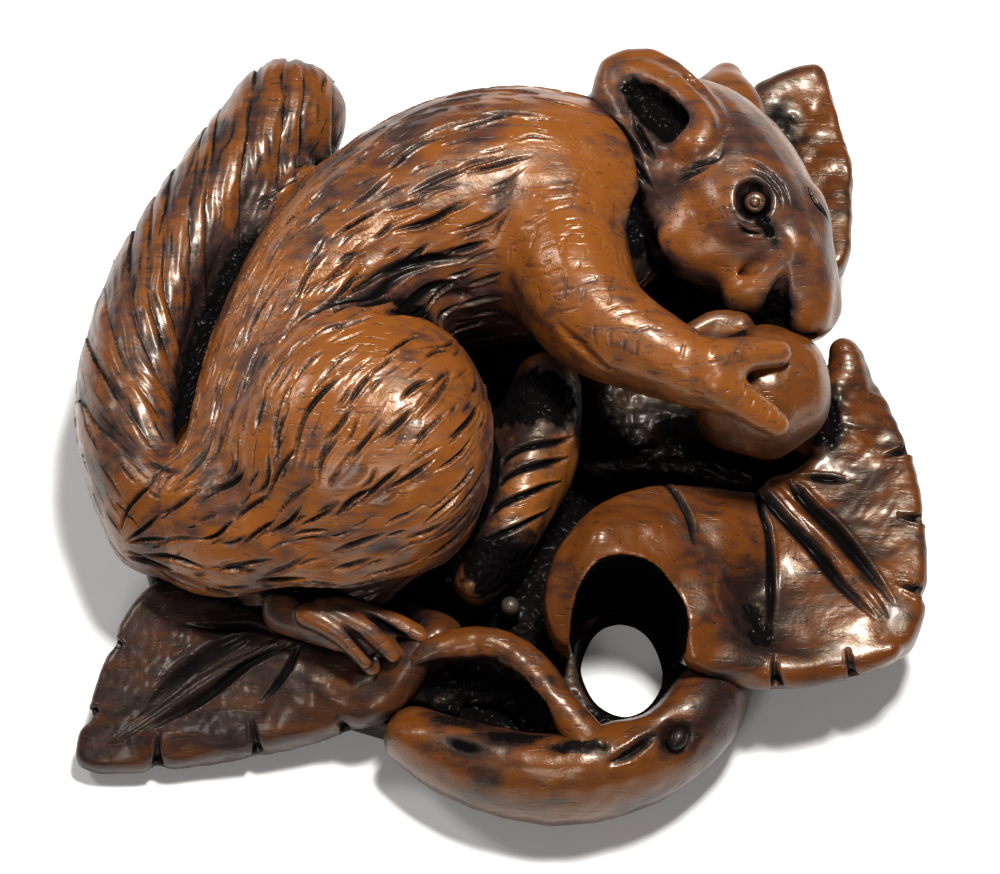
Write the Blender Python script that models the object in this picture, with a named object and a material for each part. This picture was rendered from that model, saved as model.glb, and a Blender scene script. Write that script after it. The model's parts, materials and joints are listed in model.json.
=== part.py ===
"""Carved squirrel toggle: a squirrel with a nut, lying on leaves and a stem, with a slanted cord hole.

The toggle lies on its flat back. +Z is up out of the carving, +X is to the right and +Y is towards the
animal's back. The origin is on the flat back. Shapes are written in millimetres and scaled by MM.
"""

from math import cos, pi, radians, sin, sqrt

import bmesh
import bpy
from mathutils import Vector

MM = 0.001

# Driving dimensions, in millimetres.
GAP = 0.3  # clearance between neighbouring solids
BED_TOP = 3.6  # height of the sunken ground between the carved elements
BED_BEVEL = 0.8
FLOOR = BED_TOP + GAP  # lowest point of whatever stands on the ground
LEAF_EDGE = 2.8  # thickness of a leaf at its rim
LEAF_LEAST = 0.8  # thinnest that a leaf gets anywhere
LEAF_SLOPE = 0.4  # how far in from the rim the underside drops to the ground, as a part of the way to the heart
CUT_MARGIN = GAP * 1.4  # how far a cutting copy is swollen, so that the gap holds on slanting faces too
SHARP_ANGLE = 50  # degrees; edges steeper than this stay crisp
EYE_RADIUS = 1.25
NUT_RADIUS = 4.7

# Level of detail.
RING_SIDES = 14
SPAN_STEPS = 3
CAP_RINGS = (0.35, 0.68, 0.9)  # radii of the rounded end rings, as parts of the end station
CAP_REACH = 0.6  # how far a rounded end stands out, as a part of its half width


def clear_scene():
    for item in list(bpy.data.objects):
        bpy.data.objects.remove(item, do_unlink=True)


def finish_material(name, colour, roughness):
    material = bpy.data.materials.new(name)
    material.use_nodes = True
    shader = material.node_tree.nodes["Principled BSDF"]
    shader.inputs["Base Color"].default_value = (*colour, 1.0)
    shader.inputs["Roughness"].default_value = roughness
    shader.inputs["Metallic"].default_value = 0.0
    material.diffuse_color = (*colour, 1.0)
    return material


def make_object(name, points, faces):
    """Turn points in millimetres and faces into one closed object with outward faces."""
    mesh = bpy.data.meshes.new(name)
    mesh.from_pydata([Vector(p) * MM for p in points], [], faces)
    work = bmesh.new()
    work.from_mesh(mesh)
    bmesh.ops.recalc_face_normals(work, faces=work.faces)
    if work.calc_volume(signed=True) < 0:
        bmesh.ops.reverse_faces(work, faces=work.faces)
    work.to_mesh(mesh)
    work.free()
    mesh.shade_smooth()
    made = bpy.data.objects.new(name, mesh)
    bpy.context.scene.collection.objects.link(made)
    return made


def skin_rings(name, rings):
    """Skin a list of equal rings, closing each end with a fan to its middle."""
    count = len(rings[0])
    points = [p for ring in rings for p in ring]
    faces = []
    for row in range(len(rings) - 1):
        for k in range(count):
            a = row * count + k
            b = row * count + (k + 1) % count
            faces.append((a, b, b + count, a + count))
    for row in (0, len(rings) - 1):
        middle = sum((Vector(p) for p in rings[row]), Vector()) / count
        points.append(tuple(middle))
        hub = len(points) - 1
        start = row * count
        for k in range(count):
            faces.append((hub, start + k, start + (k + 1) % count))
    return make_object(name, points, faces)


def smooth_run(stations, steps, closed=False):
    """Catmull-Rom points through the stations, whatever the length of their tuples."""
    count = len(stations)
    spans = count if closed else count - 1
    run = []
    for i in range(spans):
        if closed:
            around = [stations[(i + k) % count] for k in (-1, 0, 1, 2)]
        else:
            around = [stations[min(max(i + k, 0), count - 1)] for k in (-1, 0, 1, 2)]
        for step in range(steps):
            t = step / steps
            run.append(
                tuple(
                    0.5
                    * (
                        2 * b
                        + (c - a) * t
                        + (2 * a - 5 * b + 4 * c - d) * t * t
                        + (3 * b - a - 3 * c + d) * t * t * t
                    )
                    for a, b, c, d in zip(*around)
                )
            )
    if not closed:
        run.append(tuple(stations[-1]))
    return run


def loft(name, stations, floor=FLOOR, sides=RING_SIDES, steps=SPAN_STEPS):
    """A rounded bar through (x, y, z, half width, half height), no lower than the floor."""
    run = smooth_run(stations, steps)
    rows = []
    for part in CAP_RINGS:
        reach = CAP_REACH * run[0][3] * sqrt(1 - part * part)
        rows.append((0, -reach, part))
    rows += [(i, 0.0, 1.0) for i in range(len(run))]
    for part in reversed(CAP_RINGS):
        reach = CAP_REACH * run[-1][3] * sqrt(1 - part * part)
        rows.append((len(run) - 1, reach, part))
    rings = []
    for i, reach, part in rows:
        before = Vector(run[max(i - 1, 0)][:3])
        after = Vector(run[min(i + 1, len(run) - 1)][:3])
        along = (after - before).normalized()
        across = along.cross(Vector((0, 0, 1))).normalized()
        upward = across.cross(along)
        centre = Vector(run[i][:3]) + along * reach
        half_width = run[i][3] * part
        half_height = run[i][4] * part
        ring = []
        for k in range(sides):
            turn = 2 * pi * k / sides
            p = centre + across * half_width * cos(turn) + upward * half_height * sin(turn)
            p.z = max(p.z, floor)
            ring.append(tuple(p))
        rings.append(ring)
    return skin_rings(name, rings)


def shaped_from_outline(name, outline, centre, profile):
    """A form from a closed outline; each profile row is (scale about the centre, height offset)."""
    middle = Vector(centre)
    rings = []
    for scale, rise in profile:
        ring = []
        for p in outline:
            q = middle + (Vector(p) - middle) * scale
            q.z += rise
            ring.append(tuple(q))
        rings.append(ring)
    return skin_rings(name, rings)


def height_at(x, y, spots):
    """Height of a gently draped surface through the (x, y, z) spots."""
    total = 0.0
    weight_sum = 0.0
    for sx, sy, sz in spots:
        weight = 1.0 / ((x - sx) ** 2 + (y - sy) ** 2 + 0.4) ** 1.7
        total += weight * sz
        weight_sum += weight
    return total / weight_sum


def leaf(name, rim, heart, spots, thickness=LEAF_EDGE, floor=FLOOR, steps=2):
    """A leaf: its rim is a closed run of (x, y, z), draped through the spots, thicker inwards."""
    outline = smooth_run(rim, steps, closed=True)
    drape = list(rim) + list(spots)
    insets = (0.25, 0.5, 0.75, 0.93, 1.0)
    top = []
    bottom = []
    for inset in insets:
        top_ring = []
        bottom_ring = []
        for px, py, pz in outline:
            x = heart[0] + (px - heart[0]) * inset
            y = heart[1] + (py - heart[1]) * inset
            z = pz if inset == 1.0 else height_at(x, y, drape)
            inward = min((1.0 - inset) / LEAF_SLOPE, 1.0)
            under = max(pz - thickness, GAP) * (1 - inward) + floor * inward
            top_ring.append((x, y, z))
            bottom_ring.append((x, y, min(under, z - LEAF_LEAST)))
        top.append(top_ring)
        bottom.append(bottom_ring)
    return skin_rings(name, top + bottom[::-1])


def swollen_copy(source, margin):
    """A hidden copy of an object, pushed outwards by the margin, for cutting its neighbours."""
    mesh = source.data.copy()
    mesh.name = "cut_" + source.name
    for vertex, normal in zip(mesh.vertices, source.data.vertex_normals):
        vertex.co = vertex.co + normal.vector * (margin * MM)
    cutter = bpy.data.objects.new("cut_" + source.name, mesh)
    bpy.context.scene.collection.objects.link(cutter)
    cutter.hide_render = True
    cutter.display_type = "WIRE"
    return cutter


def keep_largest_body(mesh):
    """Drop the small loose pieces that a cut can leave behind."""
    work = bmesh.new()
    work.from_mesh(mesh)
    work.faces.ensure_lookup_table()
    unseen = set(work.faces)
    groups = []
    while unseen:
        start = unseen.pop()
        group = [start]
        to_visit = [start]
        while to_visit:
            face = to_visit.pop()
            for edge in face.edges:
                for other in edge.link_faces:
                    if other in unseen:
                        unseen.remove(other)
                        group.append(other)
                        to_visit.append(other)
        groups.append(group)
    groups.sort(key=lambda group: sum(face.calc_area() for face in group))
    for group in groups[:-1]:
        bmesh.ops.delete(work, geom=group, context="FACES")
    loose = [v for v in work.verts if not v.link_faces]
    bmesh.ops.delete(work, geom=loose, context="VERTS")
    work.to_mesh(mesh)
    work.free()


def carve(target, *sources):
    """Cut the swollen shapes of the sources out of the target."""
    for source in sources:
        cutter = source if source.display_type == "WIRE" else swollen_copy(source, CUT_MARGIN)
        cut = target.modifiers.new("clear_of_" + source.name, "BOOLEAN")
        cut.operation = "DIFFERENCE"
        cut.solver = "EXACT"
        cut.object = cutter
        bpy.context.view_layer.update()
        depsgraph = bpy.context.evaluated_depsgraph_get()
        evaluated = target.evaluated_get(depsgraph)
        mesh = bpy.data.meshes.new_from_object(evaluated)
        target.modifiers.clear()
        mesh.name = target.name
        target.data = mesh
        keep_largest_body(mesh)
        if cutter is not source:
            bpy.data.objects.remove(cutter, do_unlink=True)


def make_leaf_bed():
    """The flat-backed body that the rest grows out of."""
    outline = [
        (-26.5, -3.0), (-26.3, 4.0), (-24.0, 12.0), (-19.5, 19.5), (-15.0, 25.0),
        (-11.5, 19.5), (-7.0, 22.0), (-1.0, 23.5), (5.0, 23.0), (11.0, 22.5),
        (16.0, 23.0), (20.5, 20.5), (21.0, 13.0), (20.5, 5.0), (23.0, 0.0),
        (24.5, -7.0), (21.5, -14.0), (16.5, -17.0), (14.0, -20.5), (8.5, -24.5),
        (1.0, -25.0), (-5.5, -21.5), (-12.0, -19.5), (-19.0, -20.0), (-24.5, -19.0),
        (-23.5, -13.0),
    ]
    rings = []
    for height in (0.0, BED_TOP):
        rings.append([(x, y, height) for x, y in outline])
    bed = skin_rings("leaf_bed", rings)
    bevel = bed.modifiers.new("rounded_rim", "BEVEL")
    bevel.width = BED_BEVEL * MM
    bevel.segments = 2
    bevel.limit_method = "ANGLE"
    bevel.angle_limit = radians(60)
    return bed


def make_cord_hole():
    """The slanted tunnel for the cord, as a cutter: narrow at the back, wide at the front."""
    tunnel = loft(
        "cord_hole_cutter",
        [
            (8.5, -14.6, -3.0, 2.8, 3.4),
            (8.5, -15.2, -0.6, 2.8, 3.5),
            (8.6, -16.6, 4.5, 3.2, 3.9),
            (8.6, -17.9, 9.0, 4.0, 4.6),
            (8.6, -18.7, 14.0, 4.5, 5.0),
            (8.6, -19.0, 18.0, 4.8, 5.2),
        ],
        floor=-9.0,
        sides=16,
        steps=2,
    )
    tunnel.hide_render = True
    tunnel.display_type = "WIRE"
    return tunnel


def make_torso():
    """Back, shoulder and flank, as one arching bar."""
    return loft(
        "torso",
        [
            (-18.0, -8.6, 10.0, 4.6, 6.0),
            (-16.6, -2.5, 10.4, 5.6, 7.2),
            (-13.0, 5.2, 11.0, 6.7, 8.2),
            (-8.2, 11.2, 11.3, 7.9, 8.8),
            (-2.1, 14.3, 11.5, 8.9, 9.2),
            (3.9, 15.2, 11.4, 8.6, 9.0),
            (8.6, 16.8, 10.8, 6.6, 7.4),
        ],
        sides=18,
    )


def make_haunch():
    """The big thigh nearest the viewer."""
    return loft(
        "haunch",
        [
            (-8.6, 4.2, 12.0, 5.0, 6.4),
            (-9.2, 1.2, 12.4, 7.4, 8.6),
            (-10.0, -2.6, 12.6, 9.0, 9.8),
            (-10.8, -6.0, 12.2, 9.5, 9.2),
            (-11.6, -8.4, 11.5, 8.8, 7.9),
            (-12.4, -9.8, 10.8, 7.0, 6.4),
        ],
        sides=20,
    )


def make_tail():
    """The thick tail that runs up the left side to a blunt tip."""
    return loft(
        "tail",
        [
            (-14.7, 24.8, 8.8, 3.5, 4.6),
            (-16.2, 21.8, 9.0, 4.5, 5.4),
            (-19.6, 16.9, 9.0, 4.4, 5.8),
            (-23.3, 10.2, 8.8, 4.4, 5.9),
            (-25.3, 3.0, 8.8, 4.4, 5.9),
            (-25.1, -3.2, 8.6, 4.0, 5.6),
            (-23.6, -8.4, 8.2, 3.2, 4.4),
        ],
        sides=16,
    )


def make_head():
    """Skull, cheek and muzzle, narrowing to the nose."""
    return loft(
        "head",
        [
            (10.8, 20.6, 11.4, 4.8, 5.8),
            (13.2, 18.2, 12.3, 6.2, 6.9),
            (16.0, 14.8, 13.0, 6.1, 7.2),
            (18.6, 11.4, 13.4, 4.8, 6.2),
            (20.4, 8.1, 13.4, 3.4, 4.7),
            (21.5, 5.9, 13.2, 2.5, 3.3),
        ],
        sides=18,
    )


def make_near_ear():
    """The cupped near ear: an oval shell round a deep hollow."""
    outline = smooth_run(
        [
            (7.0, 23.8, 17.0), (10.6, 24.8, 17.4), (14.0, 21.8, 18.2), (15.4, 18.4, 18.6),
            (15.0, 16.3, 18.6), (13.2, 15.3, 18.2), (10.4, 16.5, 17.6), (8.2, 19.3, 17.2),
        ],
        2,
        closed=True,
    )
    profile = [
        (0.55, -4.6), (0.82, -2.2), (0.98, -0.4), (1.0, 0.3), (0.92, 0.9),
        (0.76, 0.6), (0.62, -0.8), (0.48, -2.2), (0.24, -2.8),
    ]
    return shaped_from_outline("near_ear", outline, (11.2, 19.9, 17.8), profile)


def make_far_ear():
    """The tip of the far ear, standing up behind the head."""
    return loft(
        "far_ear",
        [
            (14.6, 22.6, 10.6, 2.8, 2.0),
            (15.8, 25.0, 10.2, 2.2, 1.6),
            (16.4, 27.2, 9.8, 1.1, 0.9),
        ],
        sides=10,
        steps=2,
    )


def make_eye():
    """The round eyeball, set into the side of the head."""
    sides = 12
    ball = []
    for lift in (-60, -30, 0, 30, 60):
        radius = EYE_RADIUS * cos(radians(lift))
        z = 19.0 + EYE_RADIUS * sin(radians(lift))
        turns = [2 * pi * k / sides for k in range(sides)]
        ball.append([(17.6 + radius * cos(turn), 11.9 + radius * sin(turn), z) for turn in turns])
    return skin_rings("eye", ball)


def make_nut():
    """The smooth nut, a little wider than it is tall."""
    return loft(
        "nut",
        [
            (15.4, -0.3, 12.6, 3.5, 3.8),
            (17.0, 0.0, 12.9, 4.4, 4.6),
            (18.8, 0.3, 13.0, 4.6, NUT_RADIUS),
            (20.6, 0.5, 13.0, 3.6, 3.9),
        ],
        sides=16,
    )


def make_near_arm():
    """Upper arm, elbow, forearm and hand, reaching over the nut with two fingers."""
    arm = loft(
        "near_arm",
        [
            (4.4, 10.6, 15.6, 4.4, 5.0),
            (5.2, 6.6, 16.4, 4.2, 4.9),
            (7.0, 3.3, 17.2, 3.6, 4.2),
            (10.4, 0.9, 17.8, 2.8, 3.4),
            (13.4, -0.8, 18.3, 2.4, 2.7),
            (15.2, -1.3, 18.7, 2.4, 1.9),
        ],
        sides=14,
    )
    fingers = [
        loft(
            "finger_upper",
            [(14.4, -0.4, 18.9, 1.5, 1.2), (16.8, 0.3, 19.0, 1.1, 1.0), (19.2, 0.6, 18.1, 0.7, 0.7)],
            sides=8,
            steps=2,
        ),
        loft(
            "finger_lower",
            [(14.4, -2.2, 18.6, 1.5, 1.2), (16.9, -3.4, 18.3, 1.2, 1.0), (19.0, -4.4, 16.9, 0.8, 0.8)],
            sides=8,
            steps=2,
        ),
    ]
    weld_together(arm, fingers)
    return arm


def weld_together(target, extras):
    """Union the extra forms into the target, so that it stays one closed body."""
    for extra in extras:
        join = target.modifiers.new("with_" + extra.name, "BOOLEAN")
        join.operation = "UNION"
        join.solver = "EXACT"
        join.object = extra
        bpy.context.view_layer.update()
        depsgraph = bpy.context.evaluated_depsgraph_get()
        mesh = bpy.data.meshes.new_from_object(target.evaluated_get(depsgraph))
        target.modifiers.clear()
        mesh.name = target.name
        target.data = mesh
        bpy.data.objects.remove(extra, do_unlink=True)


def make_far_paw():
    """Fingers of the far hand, between chin and nut."""
    return loft(
        "far_paw",
        [(12.6, 3.2, 12.6, 1.5, 1.5), (14.7, 3.9, 13.6, 1.4, 1.4), (16.9, 4.6, 14.4, 1.1, 1.1)],
        sides=10,
        steps=2,
    )


def make_hind_foot():
    """The hind foot with three toes lying on the leaf."""
    foot = loft(
        "hind_foot",
        [(-15.0, -13.6, 8.0, 2.0, 1.7), (-12.6, -14.4, 8.5, 2.2, 1.8), (-10.4, -15.2, 8.6, 2.2, 1.6)],
        sides=12,
        steps=2,
    )
    tips = [(-5.4, -15.9, 8.2), (-6.9, -17.5, 8.0), (-8.6, -18.5, 7.7)]
    roots = [(-10.2, -14.6, 8.8), (-10.4, -15.4, 8.8), (-10.8, -16.0, 8.6)]
    toes = []
    for number, (root, tip) in enumerate(zip(roots, tips)):
        knuckle = (Vector(root) + Vector(tip)) / 2 + Vector((0, 0, 0.35))
        toes.append(
            loft(
                f"toe_{number}",
                [(*root, 0.85, 0.85), (*knuckle, 0.75, 0.75), (*tip, 0.5, 0.5)],
                sides=8,
                steps=2,
            )
        )
    weld_together(foot, toes)
    return foot


def make_far_leg():
    """The far shin, running down from under the arm between haunch and leaf."""
    return loft(
        "far_leg",
        [
            (3.3, 3.2, 8.0, 2.4, 3.4),
            (2.9, -0.6, 8.6, 2.7, 3.9),
            (1.9, -4.8, 8.8, 2.5, 3.8),
            (0.3, -8.8, 8.2, 2.1, 3.2),
            (-1.9, -12.2, 7.2, 1.5, 2.2),
        ],
        sides=12,
    )


def make_left_leaf():
    """The broad leaf at the lower left, dipping towards its tip."""
    rim = [
        (-24.6, -11.2, 5.6), (-26.9, -14.9, 5.0), (-28.4, -19.4, 3.9), (-29.4, -22.9, 2.6),
        (-26.0, -23.5, 2.6), (-22.3, -23.2, 2.8), (-18.0, -22.6, 3.3), (-12.6, -21.6, 4.2),
        (-8.6, -20.2, 5.6), (-5.2, -17.4, 6.8), (-2.6, -14.9, 7.4), (-7.5, -12.6, 7.0),
        (-15.3, -10.9, 6.6), (-20.5, -9.9, 6.2),
    ]
    spots = [
        (-14.5, -15.0, 6.9), (-20.5, -16.5, 5.6), (-24.5, -19.5, 4.6), (-9.5, -17.2, 6.6),
        (-18.6, -19.8, 5.2), (-13.4, -19.0, 5.9), (-22.6, -21.2, 4.4),
    ]
    return leaf("left_leaf", rim, (-15.5, -16.2), spots)


def make_right_leaf():
    """The broad leaf at the right, rolled up over the mouth of the cord hole."""
    rim = [
        (3.1, -13.6, 11.6), (4.1, -10.9, 12.2), (6.9, -7.6, 11.8), (10.4, -5.8, 10.8),
        (15.0, -4.9, 8.6), (20.2, -3.6, 7.6), (23.4, -0.4, 7.6), (24.0, 5.6, 6.8),
        (26.2, 3.4, 7.0), (28.2, 0.0, 7.4), (29.3, -4.8, 7.8), (29.5, -11.4, 8.0),
        (28.4, -16.2, 8.0), (24.0, -18.2, 8.4), (18.4, -19.3, 8.8), (14.2, -18.8, 9.6),
        (10.6, -17.6, 11.0), (6.4, -17.6, 10.0), (4.2, -17.0, 9.0), (3.2, -15.4, 10.4),
    ]
    spots = [
        (6.8, -10.9, 14.2), (7.6, -13.8, 14.0), (10.5, -10.5, 12.8), (14.0, -8.5, 10.2),
        (18.0, -12.9, 7.4), (11.2, -16.2, 12.0),
        (22.5, -9.5, 7.6), (26.0, -13.8, 8.6), (22.4, -3.3, 7.0), (13.5, -14.5, 11.0),
    ]
    return leaf("right_leaf", rim, (14.6, -11.2), spots)


def make_upper_leaf():
    """The leaf tip that shows behind the head."""
    rim = [
        (18.8, 27.2, 5.6), (20.6, 29.4, 5.6), (23.3, 30.2, 5.8), (24.3, 26.6, 6.0),
        (25.3, 22.4, 6.0), (25.3, 17.6, 6.2), (24.6, 13.6, 6.2), (21.0, 13.4, 5.6),
        (18.0, 18.4, 5.4), (16.4, 23.6, 5.4),
    ]
    spots = [(21.4, 21.5, 5.6), (22.4, 26.4, 5.0)]
    return leaf("upper_leaf", rim, (21.0, 21.5), spots)


def make_curled_leaf():
    """The small leaf curled into a hollow shell beside the cord hole."""
    outline = smooth_run(
        [
            (-8.8, -19.6, 6.2), (-6.6, -17.2, 7.2), (-3.2, -15.8, 8.2), (0.8, -16.0, 8.8),
            (3.6, -18.2, 8.8), (5.2, -21.0, 8.6), (6.4, -23.8, 8.0), (2.0, -24.6, 7.6),
            (-2.8, -23.6, 7.0), (-6.4, -22.0, 6.4),
        ],
        2,
        closed=True,
    )
    rim_height = 7.4
    base = FLOOR - rim_height
    profile = [
        (0.8, base), (0.9, base + 0.6), (1.0, -1.2), (0.99, -0.2), (0.92, 0.3),
        (0.76, -0.2), (0.62, -1.6), (0.42, -2.2),
    ]
    levelled = shaped_from_outline("curled_leaf", outline, (-1.2, -20.3, rim_height), profile)
    for vertex in levelled.data.vertices:
        vertex.co.z = max(vertex.co.z, FLOOR * MM)
    return levelled


def make_twig():
    """The stem that sweeps round the bottom and up the right side of the cord hole."""
    return loft(
        "twig",
        [
            (-6.6, -21.6, 4.2, 1.9, 2.8),
            (-2.6, -23.8, 4.4, 2.6, 3.6),
            (3.6, -25.3, 4.6, 2.9, 4.2),
            (9.6, -23.9, 4.8, 3.0, 4.2),
            (13.7, -20.6, 5.0, 2.9, 3.8),
            (15.4, -17.9, 4.9, 2.2, 2.6),
        ],
        floor=GAP,
        sides=14,
    )


def make_twig_knot():
    """A small dark knot on top of the stem."""
    outline = [(12.1 + 1.1 * cos(pi * k / 6), -23.7 + 0.9 * sin(pi * k / 6), 8.9) for k in range(12)]
    return shaped_from_outline(
        "twig_knot", outline, (12.1, -23.7, 8.9), [(0.7, -1.0), (1.0, 0.0), (0.85, 0.35), (0.4, 0.5)]
    )


def make_bud():
    """A small round boss on the ground beside the far leg."""
    outline = [(0.7 + 0.7 * cos(pi * k / 6), -12.7 + 0.7 * sin(pi * k / 6), 5.6) for k in range(12)]
    return shaped_from_outline(
        "bud", outline, (0.7, -12.7, 5.6), [(1.0, FLOOR - 5.6), (1.0, 0.0), (0.8, 0.35), (0.4, 0.45)]
    )


def make_leaf_stem():
    """The stalk of the right leaf, on the ground under the nut and forearm."""
    return loft(
        "leaf_stem",
        [
            (6.0, -2.6, 6.0, 0.9, 1.6),
            (9.6, -3.0, 6.8, 1.0, 1.8),
            (13.6, -3.4, 7.2, 1.1, 1.8),
            (17.4, -4.4, 7.0, 0.9, 1.5),
        ],
        sides=8,
        steps=2,
    )


FINISHES = {
    "leaf_bed": ((0.012, 0.008, 0.007), 0.45),
    "torso": ((0.33, 0.12, 0.045), 0.32),
    "haunch": ((0.38, 0.15, 0.05), 0.3),
    "tail": ((0.22, 0.08, 0.035), 0.32),
    "head": ((0.3, 0.11, 0.045), 0.32),
    "near_ear": ((0.3, 0.11, 0.045), 0.34),
    "far_ear": ((0.28, 0.1, 0.045), 0.34),
    "eye": ((0.12, 0.05, 0.03), 0.2),
    "near_arm": ((0.4, 0.15, 0.05), 0.3),
    "far_paw": ((0.3, 0.11, 0.045), 0.32),
    "nut": ((0.26, 0.07, 0.01), 0.22),
    "hind_foot": ((0.26, 0.09, 0.035), 0.34),
    "far_leg": ((0.14, 0.05, 0.025), 0.36),
    "left_leaf": ((0.12, 0.06, 0.05), 0.34),
    "right_leaf": ((0.16, 0.055, 0.025), 0.32),
    "upper_leaf": ((0.15, 0.06, 0.035), 0.36),
    "curled_leaf": ((0.2, 0.075, 0.035), 0.34),
    "twig": ((0.25, 0.09, 0.03), 0.34),
    "twig_knot": ((0.01, 0.007, 0.006), 0.4),
    "bud": ((0.1, 0.085, 0.06), 0.5),
    "leaf_stem": ((0.06, 0.025, 0.016), 0.4),
}

MAKERS = (
    make_leaf_bed, make_torso, make_haunch, make_tail, make_head, make_near_ear, make_far_ear,
    make_eye, make_near_arm, make_far_paw, make_nut, make_hind_foot, make_far_leg,
    make_left_leaf, make_right_leaf, make_upper_leaf, make_curled_leaf, make_twig,
    make_twig_knot, make_bud, make_leaf_stem,
)

# Who gives way to whom: each node is cut clear of the nodes after it.
GIVES_WAY = (
    ("torso", ("haunch", "tail", "near_arm", "head", "near_ear", "far_leg", "far_paw")),
    ("head", ("near_ear", "far_ear", "eye", "near_arm", "nut", "far_paw")),
    ("nut", ("near_arm", "far_paw")),
    ("far_paw", ("near_arm",)),
    ("haunch", ("tail", "near_arm")),
    ("far_leg", ("haunch", "near_arm")),
    ("hind_foot", ("haunch",)),
    ("curled_leaf", ("twig", "hind_foot", "bud")),
    ("leaf_stem", ("near_arm", "nut", "far_leg")),
    ("right_leaf", ("twig", "curled_leaf", "far_leg", "nut", "near_arm", "leaf_stem")),
    (
        "left_leaf",
        ("leaf_bed", "tail", "haunch", "hind_foot", "curled_leaf", "twig", "torso", "far_leg", "bud"),
    ),
    ("upper_leaf", ("leaf_bed", "head", "far_ear", "right_leaf")),
    ("twig", ("leaf_bed", "twig_knot")),
)


def main():
    clear_scene()
    nodes = {}
    for maker in MAKERS:
        made = maker()
        nodes[made.name] = made
    hole = make_cord_hole()
    carve(nodes["leaf_bed"], hole)
    for name, others in GIVES_WAY:
        carve(nodes[name], *(nodes[other] for other in others))
        if name in ("right_leaf", "curled_leaf", "twig"):
            carve(nodes[name], hole)
    bpy.data.objects.remove(hole, do_unlink=True)
    for name, node in nodes.items():
        colour, roughness = FINISHES[name]
        node.data.materials.clear()
        node.data.materials.append(finish_material(name, colour, roughness))
        node.data.set_sharp_from_angle(angle=radians(SHARP_ANGLE))


main()
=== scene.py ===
"""Looks of the carved squirrel toggle.

Each visible piece is modelled as clay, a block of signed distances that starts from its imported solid.
The clay is meshed, and then fur, veins, flutes and tool marks are cut into the mesh. Working lengths are
millimetres in the frame's own axes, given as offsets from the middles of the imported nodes' boxes. Meshes
are stored in metres.
"""

import json
from math import cos, radians, sin

import bpy
import numpy as np
import openvdb as vdb
from mathutils import Matrix, Vector
from mathutils.kdtree import KDTree


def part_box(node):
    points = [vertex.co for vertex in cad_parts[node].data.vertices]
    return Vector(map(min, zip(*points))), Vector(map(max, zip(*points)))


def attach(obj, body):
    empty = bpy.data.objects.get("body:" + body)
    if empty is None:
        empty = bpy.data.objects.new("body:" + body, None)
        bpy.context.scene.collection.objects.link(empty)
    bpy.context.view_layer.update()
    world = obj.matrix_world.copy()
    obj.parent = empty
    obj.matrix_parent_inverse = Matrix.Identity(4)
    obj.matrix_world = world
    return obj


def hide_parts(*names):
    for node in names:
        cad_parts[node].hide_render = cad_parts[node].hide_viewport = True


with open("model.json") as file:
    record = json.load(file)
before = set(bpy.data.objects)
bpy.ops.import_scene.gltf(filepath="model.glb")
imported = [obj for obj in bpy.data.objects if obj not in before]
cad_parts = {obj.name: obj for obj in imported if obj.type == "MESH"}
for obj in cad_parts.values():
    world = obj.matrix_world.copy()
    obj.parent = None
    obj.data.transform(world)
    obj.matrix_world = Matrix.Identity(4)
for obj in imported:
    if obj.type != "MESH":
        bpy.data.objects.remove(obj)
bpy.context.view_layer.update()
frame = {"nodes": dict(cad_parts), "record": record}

MM = 0.001
VOXEL = 0.22
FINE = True
BURIED = -0.8  # faces deeper than this inside another piece are left out
BURIED_BED = -1.6  # the same for the bed, which follows just inside the other pieces
BAND = 2.6  # how far from a surface its distance is known
MARGIN = 6  # empty voxels round a block of clay
RUN_GAP = 0.12  # spacing of the points along a cut
SCATTER_TRIES = 9000  # how many vertices are tried as starts of strokes
SEED = 11
BED_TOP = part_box("leaf_bed")[1][2] / MM
FOOT_INSET = 0.55  # how far inside the pieces the bed follows their feet
FOOT_TOP = BED_TOP + 0.7  # how high up the bed follows them
# two corners of the cord's way through
TUNNEL = np.array(frame["record"]["physics"]["openings"][0]["box_m"]) / MM
TUNNEL_SHADE_REACH = (5.2, 4.4)  # the tunnel wall's painted shade, black and matt, starts and is full at these distances from the way's axis
BED_DEPTH = 1.0  # height of the edges where the hidden part of the bed's top is closed
NECK_DROP = 3.5  # how far the head's closing faces run into the coat
RNG = np.random.default_rng(SEED)


# ---- places


def node_box(name):
    low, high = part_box(name)
    return np.array(low) / MM, np.array(high) / MM


def near(node, *rows):
    """Rows of x, y, z offsets from the middle of a node's box; numbers after the third are kept."""
    low, high = node_box(node)
    out = np.array(rows, float)
    out[:, :3] += (low + high) / 2
    return out


def curve(rows, gap):
    """Evenly spaced rows along a Catmull-Rom curve through the given rows."""
    rows = np.array(rows, float)
    if len(rows) == 2:
        rows = np.array([rows[0], rows.mean(axis=0), rows[1]])
    padded = np.vstack([2 * rows[0] - rows[1], rows, 2 * rows[-1] - rows[-2]])
    fine = []
    for a, b, c, d in zip(padded, padded[1:], padded[2:], padded[3:]):
        for t in np.linspace(0, 1, 12, endpoint=False):
            bend = (2 * a - 5 * b + 4 * c - d) * t**2 + (3 * b - a - 3 * c + d) * t**3
            fine.append(0.5 * (2 * b + (c - a) * t + bend))
    fine.append(rows[-1])
    fine = np.array(fine)
    steps = np.linalg.norm(np.diff(fine[:, :3], axis=0), axis=1)
    length = np.concatenate([[0], np.cumsum(steps)])
    at = np.linspace(0, length[-1], max(int(length[-1] / gap), 3))
    return np.stack([np.interp(at, length, column) for column in fine.T], axis=1)


def length_of(rows, least):
    """Lengths of vectors in rows, kept from being too small to divide by."""
    return np.maximum(np.linalg.norm(rows, axis=1, keepdims=True), least)


def smoothstep(low, high, value):
    t = np.clip((value - low) / (high - low), 0, 1)
    return t * t * (3 - 2 * t)


# ---- clay


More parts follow.
